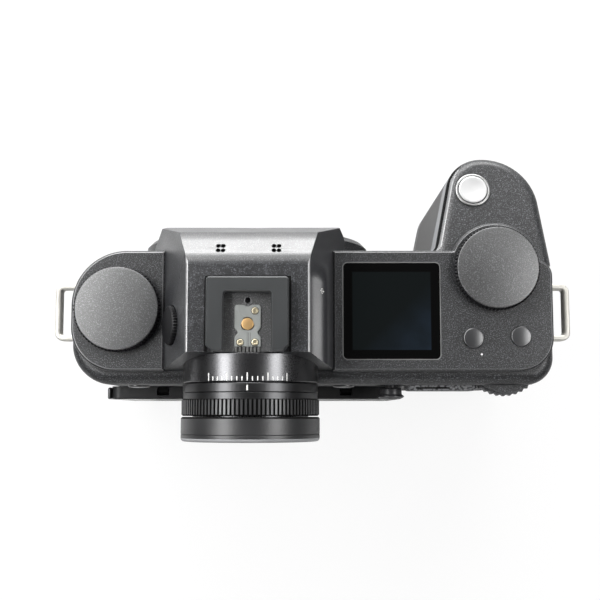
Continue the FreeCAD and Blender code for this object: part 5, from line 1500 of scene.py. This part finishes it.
@dataclass
class Eyepiece(Assembly):
    """Barrel, turning ring, eyecup and lens."""

    radius: float = 19.35 * MM
    knurl_radius: float = 19.7 * MM
    knurl_depth: float = 0.45 * MM
    ribs: int = 104
    index_width: float = 2.6 * MM
    cone_width: float = 1.8 * MM
    groove: float = 0.14 * MM
    tick_pitch: float = math.radians(4.17)
    ticks: int = 8
    tick_front: float = 16.35 * MM
    tick_middle: float = 17.3 * MM
    tick_back: float = 18.45 * MM
    tick_width: float = 0.3 * MM
    wall: float = 2.69 * MM
    cup_wall: float = 2.7 * MM
    cup_groove: float = 2.0 * MM
    cup_round: float = 1.75 * MM
    cup_mouth: float = 14.5 * MM
    cup_throat: float = 13.0 * MM
    cup_seat: float = 2.1 * MM
    cup_seam: float = 0.45 * MM
    light_rim_depth: float = 1.3 * MM
    light_rim_radius: float = 15.5 * MM
    index_front: float = 0.75 * MM
    index_back: float = 0.4 * MM
    index_widen: float = 1.4

    def build(self) -> None:
        """Make the eyepiece."""
        self.shell("eyepiece_barrel", Surface.ANODISED, edge=0.12 * MM)
        self.ring()
        self.eyecup()
        self.shell("eyepiece_lens", Surface.LENS, edge=0.0)
        self.scale()

    def ring(self) -> None:
        """Turning ring: index band, groove, cone and ribs."""
        low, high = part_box("eyepiece_ring")
        outer = self.radius
        bore = outer - self.wall
        length = high.y - low.y
        index = self.index_width
        cone = index + self.cone_width
        root = self.knurl_radius - self.knurl_depth
        stops = [(bore, 0.0, 0.0), (outer - 0.25 * MM, 0.0, 0.0), (outer, 0.25 * MM, 0.08 * MM),
                 (outer, index - self.groove, 0.05 * MM), (outer - 1.6 * self.groove, index, 0.0),
                 (outer - 0.02 * MM, index + self.groove, 0.05 * MM),
                 (outer - 0.12 * MM, cone - 0.3 * MM, 0.05 * MM), (root, cone, 0.0),
                 (self.knurl_radius, cone + 0.25 * MM, 0.0),
                 (self.knurl_radius, length - 0.4 * MM, 0.0), (root, length, 0.0), (bore, length, 0.0)]
        teeth = Teeth(self.ribs, self.knurl_depth, cone + 0.1 * MM, length - 0.1 * MM,
                      crest=0.5, flank=0.14)
        base = Vector((0, low.y, middle("eyepiece_ring").z))
        ring = self.turned("eyepiece_ring", stops, base, BACK, Surface.BAND, teeth, closed=True)
        start = low.y + cone
        self.repaint(ring, Surface.RIB, lambda face: face.center.y > start)
        shallow = self.knurl_radius - 0.5 * self.knurl_depth
        # Painted shade in the gaps between the ribs.
        self.repaint(ring, Surface.WELL, lambda face: face.center.y > start
                     and (face.center - base).xz.length < shallow)

    def eyecup(self) -> None:
        """Rubber eyecup with a fine groove before its round rim."""
        low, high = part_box("eyecup")
        radius = (high.x - low.x) / 2
        length = high.y - low.y
        bore = self.radius - self.cup_wall
        groove = length - self.cup_groove
        seat = length - self.cup_seat
        stops = [(bore, 0.0, 0.0), (radius - 0.4 * MM, 0.0, 0.1 * MM), (radius, 0.4 * MM, 0.15 * MM),
                 (radius, groove - 0.12 * MM, 0.04 * MM), (radius - 0.16 * MM, groove, 0.0),
                 (radius, groove + 0.12 * MM, 0.04 * MM), (radius, length, self.cup_round),
                 (self.cup_mouth, length, 0.4 * MM), (self.cup_throat, length - 1.2 * MM, 0.2 * MM),
                 (self.cup_throat, seat, 0.0), (bore, seat, 0.0)]
        base = Vector((0, low.y, middle("eyecup").z))
        cup = self.turned("eyecup", stops, base, BACK, Surface.RUBBER, closed=True)
        seam = low.y + self.cup_seam
        rim_start = high.y - self.light_rim_depth
        # Painted shade on the seam at the front of the cup.
        self.repaint(cup, Surface.WELL, lambda face: face.center.y < seam)
        # The rear rim gets a light grey rubber.
        self.repaint(cup, Surface.CUP_RIM, lambda face: face.center.y > rim_start and face.normal.y < 0.93
                     and (face.center - base).xz.length > self.light_rim_radius)

    def scale(self) -> None:
        """White ticks round the barrel and the index line on the ring."""
        axis = Vector((0, 0, middle("eyepiece_barrel").z))
        form = bmesh.new()
        for number in range(-self.ticks, self.ticks + 1):
            front = self.tick_front if number % 4 == 0 else self.tick_middle
            self.tick(form, axis, number * self.tick_pitch, front, self.tick_back)
        self.place("barrel_ticks", meshed(form), Surface.WHITE, "camera")
        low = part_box("eyepiece_ring")[0].y
        form = bmesh.new()
        self.tick(form, axis, 0.0, low + self.index_front, low + self.index_width - self.index_back,
                  self.index_widen)
        self.place("index_line", meshed(form), Surface.WHITE, "eyepiece_ring")

    def tick(self, form: bmesh.types.BMesh, axis: Vector, angle: float, front: float, back: float,
             widen: float = 1.0) -> None:
        """Add a tick on the barrel's surface.

        Args:
            form: mesh that the tick goes into.
            axis: point on the barrel's axis.
            angle: turn from the top, towards +X.
            front: where it starts along the axis.
            back: where it ends.
            widen: factor on its width.
        """
        outward = Vector((math.sin(angle), 0, math.cos(angle)))
        across = Vector((math.cos(angle), 0, -math.sin(angle)))
        line = axis + outward * (self.radius - 0.005 * MM)
        rim = bar(line + BACK * front, line + BACK * back, across * (self.tick_width * widen))
        add_slab(form, rim, outward * 0.03 * MM)


@dataclass
class Mount(Assembly):
    """Lens mount, sensor and the front buttons."""

    def build(self) -> None:
        """Make the mount's pieces."""
        self.shell("mount_housing", Surface.PAINT, Surface.EDGE)
        self.shell("lens_mount_ring", Surface.MOUNT_STEEL, edge=0.12 * MM)
        self.shell("mount_contact_block", Surface.PLASTIC)
        self.shell("mount_contacts", Surface.GOLD, edge=0.1 * MM)
        self.shell("mount_lock_pin", Surface.STEEL, edge=0.1 * MM)
        self.shell("lens_release_button", Surface.KEY)
        self.shell("sensor_unit", Surface.PLASTIC)
        self.shell("sensor_glass", Surface.SENSOR, edge=0.1 * MM)
        self.shell("shutter_frame", Surface.PLASTIC)
        for node in ("front_button_upper", "front_button_lower"):
            self.button(node, -BACK, Surface.KEY, dome=-0.3 * MM)


@dataclass
class RearControls(Assembly):
    """Joystick, thumb wheel and buttons on the back."""

    slot_place: Vector = field(default_factory=lambda: Vector((-53.4, 19.85, 78.49)) * MM)
    slot_half: float = 5.0 * MM
    slot_width: float = 0.5 * MM
    cap_height: float = 3.0 * MM
    cap_dish: float = 0.42 * MM
    neck: float = 1.6 * MM
    nub: float = 0.2 * MM

    def build(self) -> None:
        """Make the controls on the back."""
        self.joystick()
        self.keep("joystick_gimbal", Surface.PLASTIC)
        self.shell("rear_wheel", Surface.WHEEL, edge=0.1 * MM)
        # Painted shade: a dark strip laid where the thumb rest's groove lies.
        reach = EAST * self.slot_half
        streak = bar(self.slot_place - reach, self.slot_place + reach, BACK * self.slot_width)
        self.place("thumb_rest_groove_shade", slab_mesh(streak, UP * 0.05 * MM), Surface.WELL, "camera",
                   edge=0.02 * MM)
        self.keep("wheel_axle", Surface.STEEL)
        for node in ("rear_button_small", "power_button", "rear_button_upper", "rear_button_middle",
                     "rear_button_lower"):
            self.button(node, BACK, Surface.KEY)

    def joystick(self) -> None:
        """Stick with a flared rubber cap, dished and ringed with small nubs."""
        pivot = joint("joystick_updown")[0]
        low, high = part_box("joystick")
        radius = (high.x - low.x) / 2
        tip = high.y - pivot.y
        cap = tip - self.cap_height
        ball = pivot.y - low.y
        stops = [(0.0, -ball, 0.0), (0.7 * ball, -0.7 * ball, 0.3 * MM), (ball, 0.0, 0.8 * MM),
                 (self.neck, 0.8 * ball, 0.2 * MM), (self.neck, cap, 0.3 * MM),
                 (0.8 * radius, cap + 0.1 * MM, 0.2 * MM), (0.84 * radius, tip - 1.2 * MM, 0.3 * MM),
                 (radius, tip - 0.75 * MM, 0.15 * MM), (radius, tip - 0.45 * MM, 0.1 * MM),
                 (0.8 * radius, tip, 0.2 * MM), (0.72 * radius, tip - 0.08 * MM, 0.1 * MM),
                 (0.5 * radius, tip - 0.3 * MM, 0.4 * MM), (0.0, tip - self.cap_dish, 0.0)]
        self.turned("joystick", stops, pivot, BACK, Surface.STICK)
        form = bmesh.new()
        centre = pivot + BACK * (tip - self.cap_dish)
        for reach, count in ((0.0, 1), (0.24 * radius, 6), (0.46 * radius, 12)):
            for number in range(count):
                angle = 2 * math.pi * number / count
                at = centre + EAST * (reach * math.cos(angle)) + UP * (reach * math.sin(angle))
                bmesh.ops.create_icosphere(form, subdivisions=2, radius=self.nub,
                                           matrix=Matrix.Translation(at))
        self.place("joystick_nubs", meshed(form), Surface.STICK, "joystick")


@dataclass
class Screen(Assembly):
    """Tilting screen and its arm."""

    cap: float = 1.15 * MM
    cap_inset: float = 1.0 * MM

    def build(self) -> None:
        """Make the screen."""
        self.end_caps()
        arm = self.shell("screen_arm", Surface.PLASTIC)
        # Painted shade on the arm's upward faces, in the pocket of its knuckle.
        self.repaint(arm, Surface.WELL, lambda face: face.normal.z > 0.5)
        self.shell("screen_housing", Surface.PLASTIC)
        self.shell("screen_glass", Surface.GLASS, edge=0.1 * MM)

    def end_caps(self) -> None:
        """Rounded caps on the two ends of the screen."""
        low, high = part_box("screen_housing")
        front = low.y + self.cap_inset / 3
        foot = low.z + self.cap_inset
        head = high.z - self.cap_inset
        form = bmesh.new()
        for x, outward in ((high.x, EAST), (low.x, -EAST)):
            rim = [Vector((x, y, z)) for y, z in ((front, foot), (high.y, foot),
                                                 (high.y, head), (front, head))]
            add_slab(form, rim, outward * self.cap)
        self.place("screen_end_caps", meshed(form), Surface.KEY, "screen", edge=0.5 * MM)


@dataclass
class Hatches(Assembly):
    """Battery, doors and what lies behind them."""

    def build(self) -> None:
        """Make the hatches."""
        self.shell("battery", Surface.PLASTIC)
        self.shell("battery_release_lever", Surface.KEY)
        self.shell("card_door", Surface.PAINT, Surface.EDGE)
        self.shell("port_cover", Surface.RUBBER)
        housing = self.shell("card_slots", Surface.PLASTIC, edge=0.1 * MM)
        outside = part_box("card_slots")[0].x + 0.4 * MM
        self.repaint(housing, Surface.PAINT, lambda face: face.center.x < outside)
        self.shell("port_block", Surface.PLASTIC, edge=0.1 * MM)
        self.keep("main_board", Surface.BOARD)


@dataclass(frozen=True)
class Lamp:
    """A soft panel that faces the camera body."""

    name: str
    azimuth: float
    elevation: float
    distance: float
    width: float
    height: float
    watts: float


@dataclass
class Studio:
    """Floor, lamps, surroundings and the camera that takes the picture."""

    target: Vector = field(default_factory=lambda: Vector((-0.018, -0.008, 0.08)))
    eye: Vector = field(default_factory=lambda: Vector((-0.0142, 0.0269, 0.3767)))
    tilt: float = math.radians(6.346)
    lens: float = 60.42
    floor_half: float = 3.0
    floor_drop: float = 0.05 * MM
    floor_tone: Colour = (0.93, 0.93, 0.93)
    floor_white: float = 0.88
    floor_mirrored: float = 0.4
    floor_dim: float = 0.12
    dim: Colour = (0.05, 0.05, 0.052)
    lamps: tuple[Lamp, ...] = (
        Lamp("left panel", 0, 48, 0.42, 0.33, 0.14, 1.35),
        Lamp("right panel", 180, 48, 0.42, 0.33, 0.14, 1.05),
        Lamp("front panel", -90, 14, 0.9, 0.9, 0.26, 13.0),
        Lamp("front overhead panel", -90, 48, 0.9, 0.9, 0.25, 2.0),
        Lamp("front left panel", -45, 35, 0.35, 0.2, 0.155, 0.8),
        Lamp("back panel", 90, 12, 0.9, 0.9, 0.2, 1.3),
    )

    def build(self) -> None:
        """Set up the studio."""
        self.surroundings()
        self.floor()
        for lamp in self.lamps:
            self.hang(lamp)
        self.camera()
        bpy.context.scene.view_settings.view_transform = "Standard"

    def hang(self, lamp: Lamp) -> None:
        """Place one panel and turn it to the camera body.

        Args:
            lamp: the panel.
        """
        light = bpy.data.lights.new(lamp.name, "AREA")
        light.shape = "RECTANGLE"
        light.size = lamp.width
        light.size_y = lamp.height
        light.energy = lamp.watts
        panel = bpy.data.objects.new(lamp.name, light)
        turn = math.radians(lamp.azimuth)
        lift = math.radians(lamp.elevation)
        toward = Vector((math.cos(lift) * math.cos(turn), math.cos(lift) * math.sin(turn),
                         math.sin(lift)))
        panel.location = self.target + toward * lamp.distance
        panel.rotation_euler = toward.to_track_quat("Z", "Y").to_euler()
        bpy.context.scene.collection.objects.link(panel)

    def surroundings(self) -> None:
        """Dim surroundings, and plain white where the camera sees them."""
        world = bpy.data.worlds.new("surroundings")
        world.use_nodes = True
        bpy.context.scene.world = world
        tree = world.node_tree
        nodes = tree.nodes
        background = nodes["Background"]
        path = nodes.new("ShaderNodeLightPath")
        mix = nodes.new("ShaderNodeMix")
        mix.data_type = "RGBA"
        mix.inputs[6].default_value = (*self.dim, 1)
        mix.inputs[7].default_value = (1, 1, 1, 1)
        tree.links.new(path.outputs["Is Camera Ray"], mix.inputs[0])
        tree.links.new(mix.outputs[2], background.inputs["Color"])

    def floor(self) -> None:
        """White floor that keeps a soft shadow."""
        half = self.floor_half
        form = bmesh.new()
        corners = [form.verts.new((x * half, y * half, -self.floor_drop))
                   for x, y in ((-1, -1), (1, -1), (1, 1), (-1, 1))]
        form.faces.new(corners)
        mesh = meshed(form)
        canvas = Canvas("white floor")
        canvas.set("Base Color", self.floor_tone)
        canvas.set("Roughness", 0.7)
        seen = canvas.node("ShaderNodeLightPath", output="Is Camera Ray")
        mirrored = canvas.node("ShaderNodeLightPath", output="Is Glossy Ray")
        dim, white = (canvas.node("ShaderNodeEmission", inputs={"Color": (1, 1, 1, 1), "Strength": glow})
                      for glow in (self.floor_dim, 1.0))
        plain = canvas.node("ShaderNodeMixShader", inputs={
            0: mirrored * self.floor_mirrored, 1: Signal(canvas, canvas.shader.outputs[0]), 2: dim})
        both = canvas.node("ShaderNodeMixShader", inputs={0: seen * self.floor_white, 1: plain, 2: white})
        output = canvas.tree.nodes["Material Output"]
        canvas.tree.links.new(both.socket, output.inputs["Surface"])
        mesh.materials.append(canvas.material)
        ground = bpy.data.objects.new("floor", mesh)
        bpy.context.scene.collection.objects.link(ground)

    def camera(self) -> None:
        """Camera above the body, at the picture's place and lens."""
        data = bpy.data.cameras.new("picture")
        data.lens = self.lens
        data.sensor_width = 36.0
        data.clip_start = 0.01
        taker = bpy.data.objects.new("picture", data)
        right = Vector((-1, 0, 0))
        up = Vector((0, -math.cos(self.tilt), math.sin(self.tilt)))
        away = right.cross(up)
        turn = Matrix((right, up, away)).transposed().to_4x4()
        taker.matrix_world = Matrix.Translation(self.eye) @ turn
        bpy.context.scene.collection.objects.link(taker)
        bpy.context.scene.camera = taker


def main() -> None:
    """Build the camera and its studio."""
    logging.basicConfig(level=logging.INFO, format="%(message)s")
    for assembly in (Body(), Hump(), TopControls(), Eyepiece(), Mount(), RearControls(), Screen(),
                     Hatches()):
        assembly.build()
        assembly.report()
    Studio().build()


if __name__ == "__main__":
    main()
